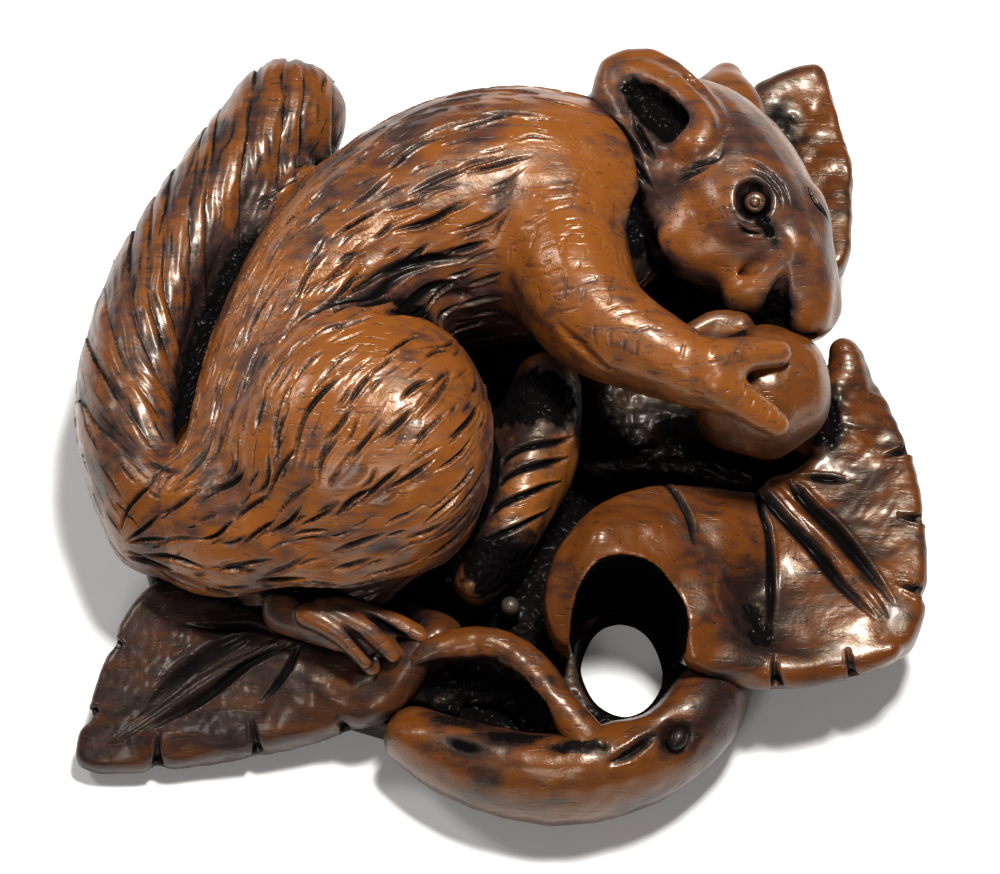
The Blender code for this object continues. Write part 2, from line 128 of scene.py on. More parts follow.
def soft_min(a, b, blend):
    if blend <= 0:
        return np.minimum(a, b)
    near_by = np.maximum(blend - np.abs(a - b), 0) / blend
    return np.minimum(a, b) - near_by * near_by * blend * 0.25


def blur(block, sigma):
    """Gaussian blur along each axis; sigma is in voxels."""
    reach = max(int(sigma * 2.6 + 0.5), 1)
    weights = np.exp(-0.5 * (np.arange(-reach, reach + 1) / sigma) ** 2)
    weights = (weights / weights.sum()).astype(np.float32)
    for axis in range(3):
        pad = [(0, 0)] * 3
        pad[axis] = (reach, reach)
        wide = np.pad(block, pad, mode="edge")
        size = block.shape[axis]
        out = np.zeros_like(block)
        for k, weight in enumerate(weights):
            window = [slice(None)] * 3
            window[axis] = slice(k, k + size)
            out += weight * wide[tuple(window)]
        block = out
    return block


def sample(block, start, step, points):
    """Trilinear reading of a lattice block at points in millimetres; its rim stands for all beyond it."""
    place = np.clip(points / step - start, 0, np.array(block.shape) - 1.001)
    base = place.astype(int)
    part = place - base
    total = np.zeros(len(points))
    for corner in range(8):
        offset = np.array([(corner >> k) & 1 for k in range(3)])
        at = base + offset
        total += np.prod(np.where(offset, part, 1 - part), axis=1) * block[at[:, 0], at[:, 1], at[:, 2]]
    return total


class Clay:
    """A block of the common lattice holding signed distances to a surface, negative inside."""

    def __init__(self, *nodes, soften=None, grow=0.12, spare=1.0):
        self.node = nodes[0]
        lows, highs = zip(*(node_box(n) for n in nodes))
        self.start = np.floor((np.min(lows, axis=0) - spare) / VOXEL).astype(int) - MARGIN
        end = np.ceil((np.max(highs, axis=0) + spare) / VOXEL).astype(int) + MARGIN
        self.shape = tuple(end - self.start)
        self.field = np.full(self.shape, BAND, np.float32)
        self.parts = {}
        if soften:
            self.solid(self.node, soften, 0.0, grow)

    def window(self, low, high):
        """Slices and open coordinate arrays for the part of the block between two corners."""
        first = np.clip(np.floor(np.array(low) / VOXEL).astype(int) - self.start, 0, self.shape)
        last = np.clip(np.ceil(np.array(high) / VOXEL).astype(int) - self.start + 1, 0, self.shape)
        last = np.maximum(first, last)
        cut = tuple(slice(a, b) for a, b in zip(first, last))
        axes = [(np.arange(a, b, dtype=np.float32) + s) * VOXEL for a, b, s in zip(first, last, self.start)]
        return cut, np.ix_(*axes)

    def solid(self, name, soften, blend, grow=0.12):
        """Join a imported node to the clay."""
        mesh = frame["nodes"][name].data
        mesh.calc_loop_triangles()
        points = np.empty(len(mesh.vertices) * 3, np.float32)
        mesh.vertices.foreach_get("co", points)
        corners = np.empty(len(mesh.loop_triangles) * 3, np.int32)
        mesh.loop_triangles.foreach_get("vertices", corners)
        grid = vdb.FloatGrid.createLevelSetFromPolygons(
            points.reshape(-1, 3) / np.float32(MM),
            triangles=corners.reshape(-1, 3).astype(np.uint32),
            transform=vdb.createLinearTransform(VOXEL),
            halfWidth=BAND / VOXEL,
        )
        block = np.full(self.shape, BAND, np.float32)
        grid.copyToArray(block, ijk=tuple(int(v) for v in self.start))
        block = blur(block, soften / VOXEL) - np.float32(grow)
        self.parts[name] = block
        self.field = soft_min(self.field, block, blend)

    def join(self, shape, cut, blend, carve):
        if carve:
            self.field[cut] = -soft_min(-self.field[cut], shape, blend)
        else:
            self.field[cut] = soft_min(self.field[cut], shape, blend)

    def blob(self, spot, radii, blend, turn=0.0, carve=False, node=None):
        """An ellipsoid, turned about Z."""
        middle = near(node or self.node, spot)[0]
        reach = max(radii) + blend + 2 * VOXEL
        cut, (x, y, z) = self.window(middle - reach, middle + reach)
        x, y, z = x - middle[0], y - middle[1], z - middle[2]
        ct, st = cos(radians(turn)), sin(radians(turn))
        offsets = list(zip((x * ct + y * st, y * ct - x * st, z), radii))
        size = np.sqrt(sum((u / r) ** 2 for u, r in offsets))
        slope = np.sqrt(sum((u / r**2) ** 2 for u, r in offsets)) + 1e-6
        self.join((size * (size - 1) / slope).astype(np.float32), cut, blend, carve)

    def bar(self, rows, blend, carve=False):
        """A bar of changing radius along a curve through (x, y, z, radius) rows."""
        run = curve(rows, 0.5)
        reach = run[:, 3].max() + blend + 3 * VOXEL
        cut, _ = self.window((run[:, :3] - reach).min(axis=0), (run[:, :3] + reach).max(axis=0))
        shape = np.full(tuple(s.stop - s.start for s in cut), BAND, np.float32)
        first = np.array([s.start for s in cut])
        for a, b in zip(run[:-1], run[1:]):
            wide = max(a[3], b[3]) + blend + 2 * VOXEL
            part, (x, y, z) = self.window(np.minimum(a, b)[:3] - wide, np.maximum(a, b)[:3] + wide)
            along = b[:3] - a[:3]
            px, py, pz = x - a[0], y - a[1], z - a[2]
            t = np.clip((px * along[0] + py * along[1] + pz * along[2]) / (along @ along + 1e-9), 0, 1)
            away = np.sqrt((px - along[0] * t) ** 2 + (py - along[1] * t) ** 2 + (pz - along[2] * t) ** 2)
            away -= a[3] + (b[3] - a[3]) * t
            inner = tuple(slice(s.start - f, s.stop - f) for s, f in zip(part, first))
            shape[inner] = np.minimum(shape[inner], away)
        self.join(shape, cut, blend, carve)

    def rope(self, blend, *rows, node=None):
        self.bar(near(node or self.node, *rows), blend)

    def dig(self, blend, *rows, node=None):
        """Carve a rope's shape away."""
        self.bar(near(node or self.node, *rows), blend, carve=True)

    def away(self, points):
        """Distances of points from the surface."""
        return sample(self.field, self.start, VOXEL, points)

    def project(self, points, rounds=3):
        """Slide points onto the surface."""
        for _ in range(rounds):
            points = points - self.slope(points) * self.away(points)[:, None]
        return points

    def slope(self, points):
        """Outward unit normals at points."""
        steps = np.eye(3) * VOXEL
        out = np.stack([self.away(points + step) - self.away(points - step) for step in steps], axis=1)
        return out / length_of(out, 1e-6)


# ---- skins


JITTER = np.random.default_rng(SEED).random((32, 32, 32, 3))


def pits(points, spacing):
    """1 in the middle of irregular pits about the spacing apart, 0 on the walls between them."""
    place = points / spacing
    cell = np.floor(place).astype(int)
    first = np.full(len(points), 9.0)
    for step in np.ndindex(3, 3, 3):
        by = cell + step - 1
        centre = by + JITTER[tuple(by.T % 32)]
        first = np.minimum(first, np.linalg.norm(place - centre, axis=1))
    return 1 - smoothstep(0.15, 0.8, first)


def ripple(points, size, seed=0):
    """Smooth noise between about -1 and 1 with features of about the given size."""
    rng = np.random.default_rng(SEED + seed)
    total = np.zeros(len(points))
    for octave in range(7):
        way, bend = rng.normal(size=(2, 3))
        way /= np.linalg.norm(way)
        bend /= np.linalg.norm(bend)
        rate = 6.28 / size * (0.6 + 0.18 * octave)
        shift = 6.28 * rng.random() + 1.7 * np.sin(points @ bend * rate * 0.6 + octave)
        total += np.sin(points @ way * rate + shift)
    return total / 4.2


class Skin:
    """The surface of a lump of clay, with cuts pushed into it and stain, ink and painted shade held at each
    vertex.
    """

    def __init__(self, clay, fine=False):
        self.clay = clay
        grid = vdb.FloatGrid(BAND)
        grid.transform = vdb.createLinearTransform(VOXEL)
        grid.copyFromArray(clay.field, ijk=tuple(int(v) for v in clay.start))
        points, quads = grid.convertToQuads(0)
        self.points, self.quads = points.astype(float), quads.astype(int)
        if fine:
            self.subdivide()
        self.normals = self.face_normals()
        if np.mean(np.sum(self.normals * clay.slope(self.points), axis=1)) < 0:
            self.quads = self.quads[:, ::-1]
            self.normals = -self.normals
        count = len(self.points)
        self.dent, self.ink, self.stain, self.tone, self.rough = np.zeros((5, count))
        self.tree = KDTree(count)
        for i, p in enumerate(self.points):
            self.tree.insert(p, i)
        self.tree.balance()

    def subdivide(self):
        """Split each face in four and slide the new points onto the clay."""
        quads = self.quads
        count = len(self.points)
        edges = np.sort(np.concatenate([quads[:, [k, (k + 1) % 4]] for k in range(4)]), axis=1)
        codes, where = np.unique(edges[:, 0] * count + edges[:, 1], return_inverse=True)
        middles = (self.points[codes // count] + self.points[codes % count]) / 2
        centres = self.points[quads].mean(axis=1)
        mid = count + where.reshape(4, -1).T
        hub = (count + len(codes) + np.arange(len(quads)))[:, None]
        self.points = self.clay.project(np.vstack([self.points, middles, centres]), rounds=2)
        corners = [np.hstack([quads[:, [k]], mid[:, [k]], hub, mid[:, [k - 1]]]) for k in range(4)]
        self.quads = np.concatenate(corners)

    def face_normals(self):
        a, b, c, d = (self.points[self.quads[:, k]] for k in range(4))
        face = np.cross(c - a, d - b)
        normal = np.zeros_like(self.points)
        for k in range(4):
            for axis in range(3):
                normal[:, axis] += np.bincount(self.quads[:, k], face[:, axis], len(self.points))
        return normal / length_of(normal, 1e-9)

    def part_distances(self):
        """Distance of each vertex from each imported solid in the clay."""
        blocks = list(self.clay.parts.values()) or [self.clay.field]
        return np.stack([sample(block, self.clay.start, VOXEL, self.points) for block in blocks])

    def cut(self, run, half_width, depth, ink=1.0, ends=(0.35, 0.35), lip=0.0, smudge=None):
        """Press a tapered stroke along a run of surface points; a negative depth raises a ridge.

        The lip is how far the wood stands up along one side, as a share of the depth."""
        halo = 2.2 if lip else 1.6
        found = set()
        for p in run[::3]:
            found.update(i for _, i, _ in self.tree.find_range(p, half_width * halo + 0.2))
        index = np.array(sorted(found), int)
        away = self.points[index][:, None, :] - run[None]
        gaps = np.linalg.norm(away, axis=2)
        at = gaps.argmin(axis=1)
        rows = np.arange(len(index))
        t = at / (len(run) - 1)
        fade = np.clip(np.minimum(t / max(ends[0], 0.01), (1 - t) / max(ends[1], 0.01)), 0, 1) ** 0.7
        width = half_width * (0.25 + 0.75 * fade)
        share = gaps[rows, at] / width
        part = np.maximum(1 - share**2, 0) * fade
        press = depth * part
        if lip:
            way = np.gradient(run, axis=0)[at]
            across = np.sum(np.cross(self.normals[index], way) * away[rows, at], axis=1)
            side = across / (np.linalg.norm(way, axis=1) * width + 1e-9)
            press -= lip * depth * fade * np.exp(-(((side - 1.3) / 0.45) ** 2))
        stronger = np.abs(press) > np.abs(self.dent[index])
        self.dent[index[stronger]] = press[stronger]
        smudge = ink if smudge is None else smudge
        self.mark("ink", ink * part**0.6, index)
        self.mark("stain", smudge * fade * np.maximum(1 - (share / 1.6) ** 2, 0), index)

    def mark(self, key, amount, index=slice(None)):
        """Raise a mark of the vertices to an amount."""
        values = getattr(self, key)
        values[index] = np.maximum(values[index], amount)

    def score(self, width, depth, *lines, ink=1.0, ends=(0.35, 0.35), node=None):
        """Cut several lines of the same size along the surface nearest to curves through their rows."""
        for rows in lines:
            run = self.clay.project(curve(near(node or self.clay.node, *rows), RUN_GAP)[:, :3])
            self.cut(run, width, depth, ink, ends, 0.3)

    def hairs(self, starts, heading, length, sway):
        """Runs combed over the surface from many starts at once; heading gives angles in degrees."""
        place = self.clay.project(starts)
        runs = [place]
        for i in range(int(length.max() / RUN_GAP)):
            swing = sway * np.sin(6.28 * i * RUN_GAP / length)
            angle = np.radians(heading(place) + swing)
            way = np.stack([np.cos(angle), np.sin(angle), np.zeros(len(place))], axis=1)
            normal = self.clay.slope(place)
            way -= normal * np.sum(way * normal, axis=1, keepdims=True)
            way /= length_of(way, 0.2)
            place = self.clay.project(place + way * RUN_GAP, rounds=1)
            runs.append(place)
        runs = np.stack(runs, axis=1)
        return [run[: max(int(size / RUN_GAP), 3)] for run, size in zip(runs, length)]

    def scatter(self, weight, spacing):
        """Vertices spread at least a spacing apart, thinned by a weight for each vertex."""
        order = RNG.permutation(len(self.points))[:SCATTER_TRIES]
        keep = []
        for i in order[RNG.random(len(order)) < weight[order]]:
            p = self.points[i]
            if not keep or np.min(np.sum((self.points[keep] - p) ** 2, axis=1)) > spacing**2:
                keep.append(i)
        return np.array(keep)

    def blacken(self, *patches, node=None):
        """Ink ellipsoids given as (x, y, z, three radii, amount), fading at their edges."""
        for patch in near(node or self.clay.node, *patches):
            away = np.sqrt(np.sum(((self.points - patch[:3]) / patch[3:6]) ** 2, axis=1))
            away += 0.15 * ripple(self.points, 1.4, seed=15)
            self.mark("ink", patch[6] * smoothstep(1.15, 0.6, away))
            self.mark("rough", smoothstep(1.1, 0.6, away))
            self.mark("stain", patch[6] * smoothstep(1.5, 0.8, away))

    def tint(self, *spots, node=None):
        """Darken, or with a negative amount lighten, soft spots given as (x, y, z, radius, amount)."""
        for x, y, z, radius, amount in near(node or self.clay.node, *spots):
            away = np.sum((self.points - (x, y, z)) ** 2, axis=1) / radius**2
            self.tone += amount * np.exp(-away)

    def lump(self, *areas):
        """Uneven swellings over round areas given as (x, y, z, radius, height, ripple size, seed)."""
        for x, y, z, radius, height, size, seed in near(self.clay.node, *areas):
            away = np.sum((self.points - (x, y, z)) ** 2, axis=1) / radius**2
            self.dent += height * np.exp(-away) * ripple(self.points, size, int(seed))

    def settle(self):
        """Push the cuts into the surface."""
        self.points = self.points - self.normals * self.dent[:, None]
        self.normals = self.face_normals()


def close_patch(skin, chosen, depth, drop):
    """The chosen faces as a closed body: each open edge is walled inwards, or down to a depth, and fanned
    to one point, which lies the given drop below the edge's middle."""
    quads = skin.quads[chosen]
    edges = np.concatenate([quads[:, [k, (k + 1) % 4]] for k in range(4)])
    size = len(skin.points)
    codes = edges[:, 0] * size + edges[:, 1]
    back = edges[:, 1] * size + edges[:, 0]
    rim = edges[~np.isin(codes, back)]
    used = np.unique(quads)
    new_index = np.full(size, -1)
    new_index[used] = np.arange(len(used))
    points = [skin.points[used]]
    normals = [skin.normals[used]]
    faces = new_index[quads].tolist()
    if len(rim):
        # each open edge's vertices share the number of its lowest one
        group = np.arange(size)
        while (group[rim[:, 0]] != group[rim[:, 1]]).any():
            lowest = group[rim].min(axis=1)
            for end in rim.T:
                np.minimum.at(group, end, lowest)
            group = group[group]
        rim_points, place = np.unique(rim, return_inverse=True)
        place = place.reshape(rim.shape)
        sunk = skin.points[rim_points] - skin.normals[rim_points] * 0.4
        if depth is not None:
            sunk[:, 2] = depth
        points.append(sunk)
        normals.append(skin.normals[rim_points])
        keys, hub = np.unique(group[rim_points], return_inverse=True)
        for k in range(len(keys)):
            inward = skin.normals[rim_points[hub == k]].mean(axis=0)
            points.append((sunk[hub == k].mean(axis=0) - drop * inward)[None])
            normals.append(np.array([[0, 0, -1]]))
        inner = len(used) + place
        hubs = len(used) + len(rim_points) + hub[place[:, 0]]
        for (a, b), (c, d), middle in zip(new_index[rim].tolist(), inner.tolist(), hubs.tolist()):
            faces += [b, a, c, d], [d, c, middle]
    return np.vstack(points), np.vstack(normals), faces, used


class Hollows:
    """How closed in each place is, from the whole object's solid, at three scales."""

    def __init__(self, clays):
        self.step = VOXEL * 2
        low = np.min([clay.start for clay in clays], axis=0) // 2 - 10
        high = np.max([clay.start + clay.shape for clay in clays], axis=0) // 2 + 11
        self.start = low
        full = np.zeros(tuple(high - low), np.float32)
        for clay in clays:
            odd = clay.start % 2
            part = clay.field[odd[0] :: 2, odd[1] :: 2, odd[2] :: 2]
            first = (clay.start + odd) // 2 - low
            place = tuple(slice(f, f + s) for f, s in zip(first, part.shape))
            full[place] = np.maximum(full[place], np.clip(0.5 - part / self.step, 0, 1))
        self.scales = [blur(full, size / self.step) for size in (0.45, 1.1, 2.4)]

    def at(self, points):
        return [sample(block, self.start, self.step, points) for block in self.scales]


# ---- forms


COAT = ("torso", "haunch", "near_arm", "tail")
HEAD = ("head", "near_ear", "far_ear")
CHEEK_GAP = ((-6.9, 1.4, 4.4, 0.15), (-6.4, -1, 3.8, 0.7), (-5.7, -3.8, 3.2, 1), (-4.6, -6.2, 2.6, 1.1))
EAR_HOLLOW = ((-2.4, 1.5, 2.8, 0.5), (-1.4, 0.4, 2.6, 1), (-0.1, -1, 2.5, 1.35), (0.9, -2.1, 2.9, 1.2))


def sculpt_coat(clay):
    """Torso, haunch, arm and tail as one lump."""
    clay.solid("haunch", 0.5, 1.8)
    clay.solid("near_arm", 0.35, 2.4)
    clay.solid("tail", 0.5, 0.9)
    # the tail's root swells into the hip, and the hip into the haunch
    clay.blob((-15.6, -14, -2.6), (4.8, 4.2, 5.2), 3)
    clay.blob((-5.6, -6.2, -3.4), (5.6, 4.4, 6), 3, node="haunch")
    # the haunch's crest lies towards the head, above a steep side
    clay.blob((5, -0.8, 3), (4.8, 7.2, 5.6), 2.6, node="haunch")
    # undercut below the haunch
    clay.dig(
        1.6, (-12, -8.8, -8, 1.5), (-7, -10.5, -4.8, 1.6), (-2.5, -11.5, -2.2, 1.8),
        (2.5, -11.2, -2, 1.8), (6.5, -8.9, -3.4, 1.5), node="haunch"
    )
    # broad tip of the tail
    clay.blob((5.6, 15.4, 1.2), (3.6, 3.9, 3.2), 1.5, turn=60, node="tail")
    # the back swells up to the tail, with a groove between them
    clay.rope(1.6, (-8.6, 10.8, -0.4, 1.2), (-10.8, 8.2, -0.8, 1.6), (-13.4, 3.6, -2.4, 1.6))
    clay.dig(
        0.8, (-8.6, 11.6, 3.8, 0.2), (-12.6, 6.4, 2.2, 0.4), (-15.2, 0.6, 0.6, 1), (-16.1, -7, 0.2, 1),
        (-16.4, -11, 1.4, 0.3)
    )
    # crease over the haunch, running to the belly
    clay.dig(
        0.7, (1, 7.2, 7.6, 0.2), (3.4, 6.9, 6.4, 0.5), (5.6, 8, 4.2, 0.6), (8, 10.3, 2.6, 0.3),
        node="haunch"
    )
    clay.dig(0.8, *CHEEK_GAP, node="head")
    clay.bar(near("near_ear", *EAR_HOLLOW) + (0, 0, 0, 0.5), 0.3, carve=True)
    # slit under the elbow
    clay.dig(0.3, (-5.9, -2.2, 3.6, 0.2), (-4.4, -3.8, 3.4, 0.45), (-2.8, -5, 2.6, 0.2), node="near_arm")
    # two fingers over the nut with a gap between them
    clay.rope(0.6, (4.4, -5, 3.8, 1.5), (7.2, -4.2, 3.2, 0.9), (9.2, -3.6, 2.2, 0.75), node="near_arm")
    clay.rope(0.6, (4.8, -6.4, 3.4, 1.4), (7.2, -7.6, 2.2, 0.85), (8.9, -8.4, 1.2, 0.7), node="near_arm")


def sculpt_head(clay):
    clay.solid("near_ear", 0.4, 0.9)
    clay.solid("far_ear", 0.35, 0.8)
    clay.blob((2, -0.6, 0), (2, 2.7, 1.6), 1, turn=20, node="far_ear")
    # neck, filling the space between the ear and the shoulder
    clay.rope(1.6, (-7.8, 6, 1.6, 2.4), (-6.6, 2.6, 2.4, 2.6), (-5.4, -0.2, 1.8, 2.4))
    # near ear: a thick plate with a rolled rim and a deep hollow
    clay.blob((-0.2, -0.6, 0.6), (5, 2.7, 2), 0.6, turn=-46, node="near_ear")
    clay.rope(
        0.9, (-3.7, 1.4, 0.6, 0.8), (-3.4, 2.6, 0.9, 0.9), (-2, 3, 1.4, 1), (0.1, 1.7, 2.1, 1.05),
        (2.1, -0.3, 2.5, 1.2), (3, -2.3, 3, 1.3), (2.5, -3.7, 3, 1.3), node="near_ear"
    )
    clay.dig(
        0.7, (1.9, 1.6, 2.6, 0.15), (3.5, -0.3, 3.6, 0.3), (4.4, -2.2, 4.1, 0.35),
        (4.2, -4.2, 4.3, 0.3), (2.8, -5.4, 4.1, 0.25), (1.2, -5.6, 3.4, 0.1), node="near_ear"
    )
    clay.dig(0.3, *EAR_HOLLOW, node="near_ear")
    # cheek, muzzle and lower lip
    clay.blob((-1, -4, 2.6), (4, 2.8, 2.8), 1.6, turn=-10)
    clay.rope(1.4, (4.4, -3.6, 3.6, 1.8), (5.9, -7, 2.5, 1.4), (6.4, -8.9, 1.4, 1.15))
    clay.blob((2.3, -7.8, 2.4), (2.1, 1.2, 1.7), 1.7, turn=14)
    # mound round the eye, far eye and the bridge of the nose
    clay.blob((1.6, -2.4, 5.4), (3, 2.7, 1.9), 0.9)
    clay.blob((6.3, -2.2, 3.2), (1.3, 2.4, 1.7), 0.8, turn=10)
    clay.blob((5, -5, 4.6), (1.1, 1.6, 1.2), 0.8)
    # slope on the far side of the muzzle, and the gap between cheek and shoulder
    clay.dig(1.2, (9, -3.4, 4.2, 0.7), (9.4, -6.6, 3.2, 0.9), (9.1, -9.4, 1.8, 1.1))
    clay.dig(0.6, *CHEEK_GAP)
    # creases: cheek to lip, mouth, nostril
    clay.dig(0.7, (1.2, -6.9, 3.2, 0.15), (2.6, -6.6, 5, 0.3), (4, -5.8, 6.1, 0.15))
    clay.dig(0.5, (3.6, -5, 6.6, 0.4), (4.4, -6.4, 5.8, 0.2))
    clay.dig(0.25, (4.4, -7.2, 5.2, 0.1), (3.9, -8.8, 3.4, 0.75), (3.7, -9.9, 1.6, 1.1))
    clay.blob((6, -10.1, 1), (0.6, 0.5, 0.5), 0.3, carve=True)
    # black corner of the eye, and its socket
    clay.dig(0.3, (2.7, -3.9, 7, 0.4), (3.3, -4.9, 6.9, 0.3), (3.8, -5.8, 6.6, 0.05))
    clay.blob((2.25, -2.9, 7.3), (1.3, 1.55, 1.3), 0.3, carve=True)


def sculpt_eye(clay):
    clay.blob((0, -0.25, 0.35), (0.84, 0.84, 0.8), 0)


def sculpt_far_paw(clay):
    clay.rope(0.4, (-2.4, -0.6, 1.2, 0.8), (0.6, 1.2, 1.4, 0.7), (3, 0.2, 1, 0.5))


def sculpt_hind_foot(clay):
    # toes and the gaps between them
    clay.rope(0.25, (-2.5, 0.2, 1.7, 0.9), (-0.4, -1, 1.5, 0.75), (1.5, -2.8, 0.5, 0.5))
    clay.rope(0.25, (-1.5, 0.6, 1.7, 0.9), (1.6, -0.8, 1.2, 0.7), (3.4, -2.3, 0.3, 0.5))
    clay.rope(0.25, (-0.5, 1, 1.6, 0.8), (3, 0.2, 0.8, 0.6), (5.3, -0.9, 0.3, 0.45))
    clay.dig(0.25, (0.2, -0.9, 2.3, 0.2), (2.4, -2.7, 1.1, 0.35))
    clay.dig(0.25, (1.7, 0.2, 2.1, 0.2), (4.3, -1.4, 1, 0.35))


def sculpt_far_leg(clay):
    clay.blob((0, 1.5, -1.2), (3.6, 4.6, 3.6), 1.5, turn=-20)


def notch(clay, low, high, *places):
    """Small bites out of a leaf's edge, at x, y offsets and between two heights."""
    for x, y in places:
        clay.dig(0.8, (x, y, low, 0.4), (x, y, high, 0.5))


def sculpt_left_leaf(clay):
    clay.blob((-2.2, -3.2, -0.7), (3, 2.2, 1.2), 1)
    clay.rope(
        2, (3.4, -1.8, 0.6, 0.8), (6.4, -3, 0.8, 1.2), (8.6, -2.4, 1.8, 1.4), (10, -0.6, 3.2, 1.4),
        (11.6, 0.8, 3.8, 1)
    )
    notch(clay, -3.6, 2, (-11.2, 1.8), (-12.8, -3.2), (-7.7, -7), (-0.7, -6.4), (5.4, -5.2))


def sculpt_right_leaf(clay):
    # low part of the leaf behind the nut, and its curled tip
    clay.blob((8.2, 7.8, -2.6), (2.6, 3.4, 1.8), 1, turn=-15)
    clay.rope(1.2, (7.6, 9.4, -1.8, 1.6), (8.2, 11.2, -1.4, 1.5), (8, 12.4, -1, 1.1))
    clay.blob((6.2, 7.2, -2.8), (2.4, 2, 1.4), 0.8)
    # the leaf curls over the opening for the cord, where its edge is thin
    x, y = TUNNEL.mean(axis=0)[:2]
    flare = ((0, 0, 3, 2.9), (0.1, -0.2, 8, 3.5), (0.3, -0.4, 11, 3.9), (0.3, -0.4, 15, 4.2))
    clay.bar(np.array(flare) + (x, y, 0, 0), 0.3, carve=True)
    # hollow running down the middle of the leaf, and a raised rim along its front
    clay.dig(1.6, (0.4, -6.6, 1.6, 1.1), (1.7, -8.6, 1, 1.4), (4.4, -9.6, 0.9, 1.2))
    clay.rope(
        0.9, (-3, -11.3, 0.2, 0.6), (0.2, -12, -1.5, 0.6), (3.6, -12.2, -1.5, 0.6),
        (7.8, -11.3, -1.7, 0.6), (10.5, -10.2, -1.3, 0.5)
    )
    notch(clay, -5, 1.5, (13, 5.5), (13.8, -0.1), (13.4, -5.8), (2.7, -13.2), (8.1, -12.5))


def sculpt_upper_leaf(clay):
    clay.blob((0.2, 4.8, 0.2), (2.8, 3, 1.2), 1)
    clay.rope(0.8, (-1.6, 6.6, 0.5, 0.9), (0.4, 7.3, 0.7, 0.8), (2, 7.7, 0.9, 0.7))


def sculpt_curled_leaf(clay):
    clay.rope(
        0.6, (-4.9, 1.6, 0.3, 0.8), (-3.4, 2.2, 1.1, 1.1), (0.2, 2.7, 1.8, 1.1), (3, 1, 2, 0.9),
        (4.9, -1.4, 1.9, 1), (7.2, -4, 1, 1.4), (8, -5.4, -0.2, 1.4)
    )
    clay.blob((-3.4, 2.1, 0.6), (2.2, 1, 1.5), 1, turn=25)
    clay.blob((0.2, -1.2, 0.6), (5.4, 2.3, 3), 0.4, turn=-20, carve=True)
    # its left end gives way to the left leaf
    clay.dig(0.8, (-8.6, -3.6, -1.8, 1.8), (-7.6, -1.8, -1, 1.2), (-7, 0, -0.6, 1.2))


def sculpt_twig(clay):
    clay.blob((-12.3, 1.6, 3.8), (3, 1.8, 2.6), 1.2, carve=True)
    clay.blob((0, 0, 0.4), (1.25, 0.95, 1), 0.3, turn=50, carve=True, node="twig_knot")


def sculpt_twig_knot(clay):
    clay.blob((0, 0, -0.3), (0.95, 0.7, 0.6), 0, turn=50)


def sculpt_ground(others):
    """The bed, joined low down to the foot of every other form."""
    clay = Clay("leaf_bed", soften=0.4, spare=3.5)
    for other in others:
        first = other.start - clay.start
        low = np.maximum(first, 0)
        high = np.minimum(first + other.shape, clay.shape)
        if (high <= low).any():
            continue
        here = tuple(slice(a, b) for a, b in zip(low, high))
        there = tuple(slice(a - f, b - f) for a, b, f in zip(low, high, first))
        z = (np.arange(low[2], high[2]) + clay.start[2]) * VOXEL
        foot = np.maximum(other.field[there] + FOOT_INSET, z - FOOT_TOP).astype(np.float32)
        clay.field[here] = soft_min(clay.field[here], foot, 0.9)
    z = (np.arange(clay.shape[2], dtype=np.float32) + clay.start[2]) * VOXEL
    clay.field = np.maximum(clay.field, -z)
    return clay


def open_tunnel(clay):
    """Carve the cord's way, straight up and a little wider than its box."""
    (x0, _, bottom), (x1, _, top) = TUNNEL
    x, y = TUNNEL.mean(axis=0)[:2]
    radius = (x1 - x0) / 2 * 1.3
    clay.bar(((x, y, bottom - 1, radius), (x, y, top, radius)), 0.5, carve=True)


# ---- cuts


# x, y on the body and the lie of the fur there, in degrees below leftward
FUR_GUIDES = (
    (6.6, 14.4, -12), (4.2, 10, 14), (-3.6, 8, 36), (3.1, 2.6, 28), (-1.8, 1, 38), (7.3, 3, 45),
    (-8.8, -2.6, 55), (-13.8, -7, 65), (-6.1, -6.3, 33), (-4.7, -10.3, 50), (-10.6, -12.5, 66),
    (-6.1, -15.7, 62), (-1.8, -13.4, 50), (1, -15.6, 40), (-13.8, -15.7, 25), (-6.8, -18.8, 28),
    (-0.4, -18.4, 35)
)


def fur_heading(points):
    """The lie of the fur, blended from the guides near each point."""
    guides = near("torso", *[(x, y, 0) for x, y, _ in FUR_GUIDES])
    lie = np.array([g[2] for g in FUR_GUIDES], float)
    gap = np.sum((points[:, None, :2] - guides[None, :, :2]) ** 2, axis=2)
    weight = 1 / (gap + 1.5) ** 2
    return 180 + (weight * lie).sum(axis=1) / weight.sum(axis=1)


TAIL_AXIS = (
    (6.4, 18.1, 0), (3.3, 12.4, 0), (-0.9, 5.4, 0), (-4, -1.5, 0), (-4.7, -8.4, 0), (-3.3, -15.3, 0),
    (-1.2, -19.1, 0)
)
FLUTE_ANGLE = 28
FLUTE_PITCH = 1.75


def tail_axis(points):
    """The tail's axis from its tip, in x and y, and the nearest row of it for each point."""
    axis = curve(near("tail", *TAIL_AXIS), 0.5)[:, :2]
    return axis, np.sum((points[:, None, :2] - axis[None]) ** 2, axis=2).argmin(axis=1)


def tail_place(points):
    """Distance along the tail from its tip, and distance across it to the right."""
    axis, at = tail_axis(points)
    at = np.clip(at, 1, len(axis) - 2)
    way = axis[at + 1] - axis[at - 1]
    way /= np.linalg.norm(way, axis=1, keepdims=True)
    away = points[:, :2] - axis[at]
    along = at * 0.5 + np.sum(away * way, axis=1)
    across = -(away[:, 0] * way[:, 1] - away[:, 1] * way[:, 0])
    return along, across


def tail_heading(points):
    """The lie of the locks, in degrees: down the tail and to its right."""
    axis, at = tail_axis(points)
    way = np.gradient(axis, axis=0)[at]
    return np.degrees(np.arctan2(way[:, 1], way[:, 0])) + FLUTE_ANGLE


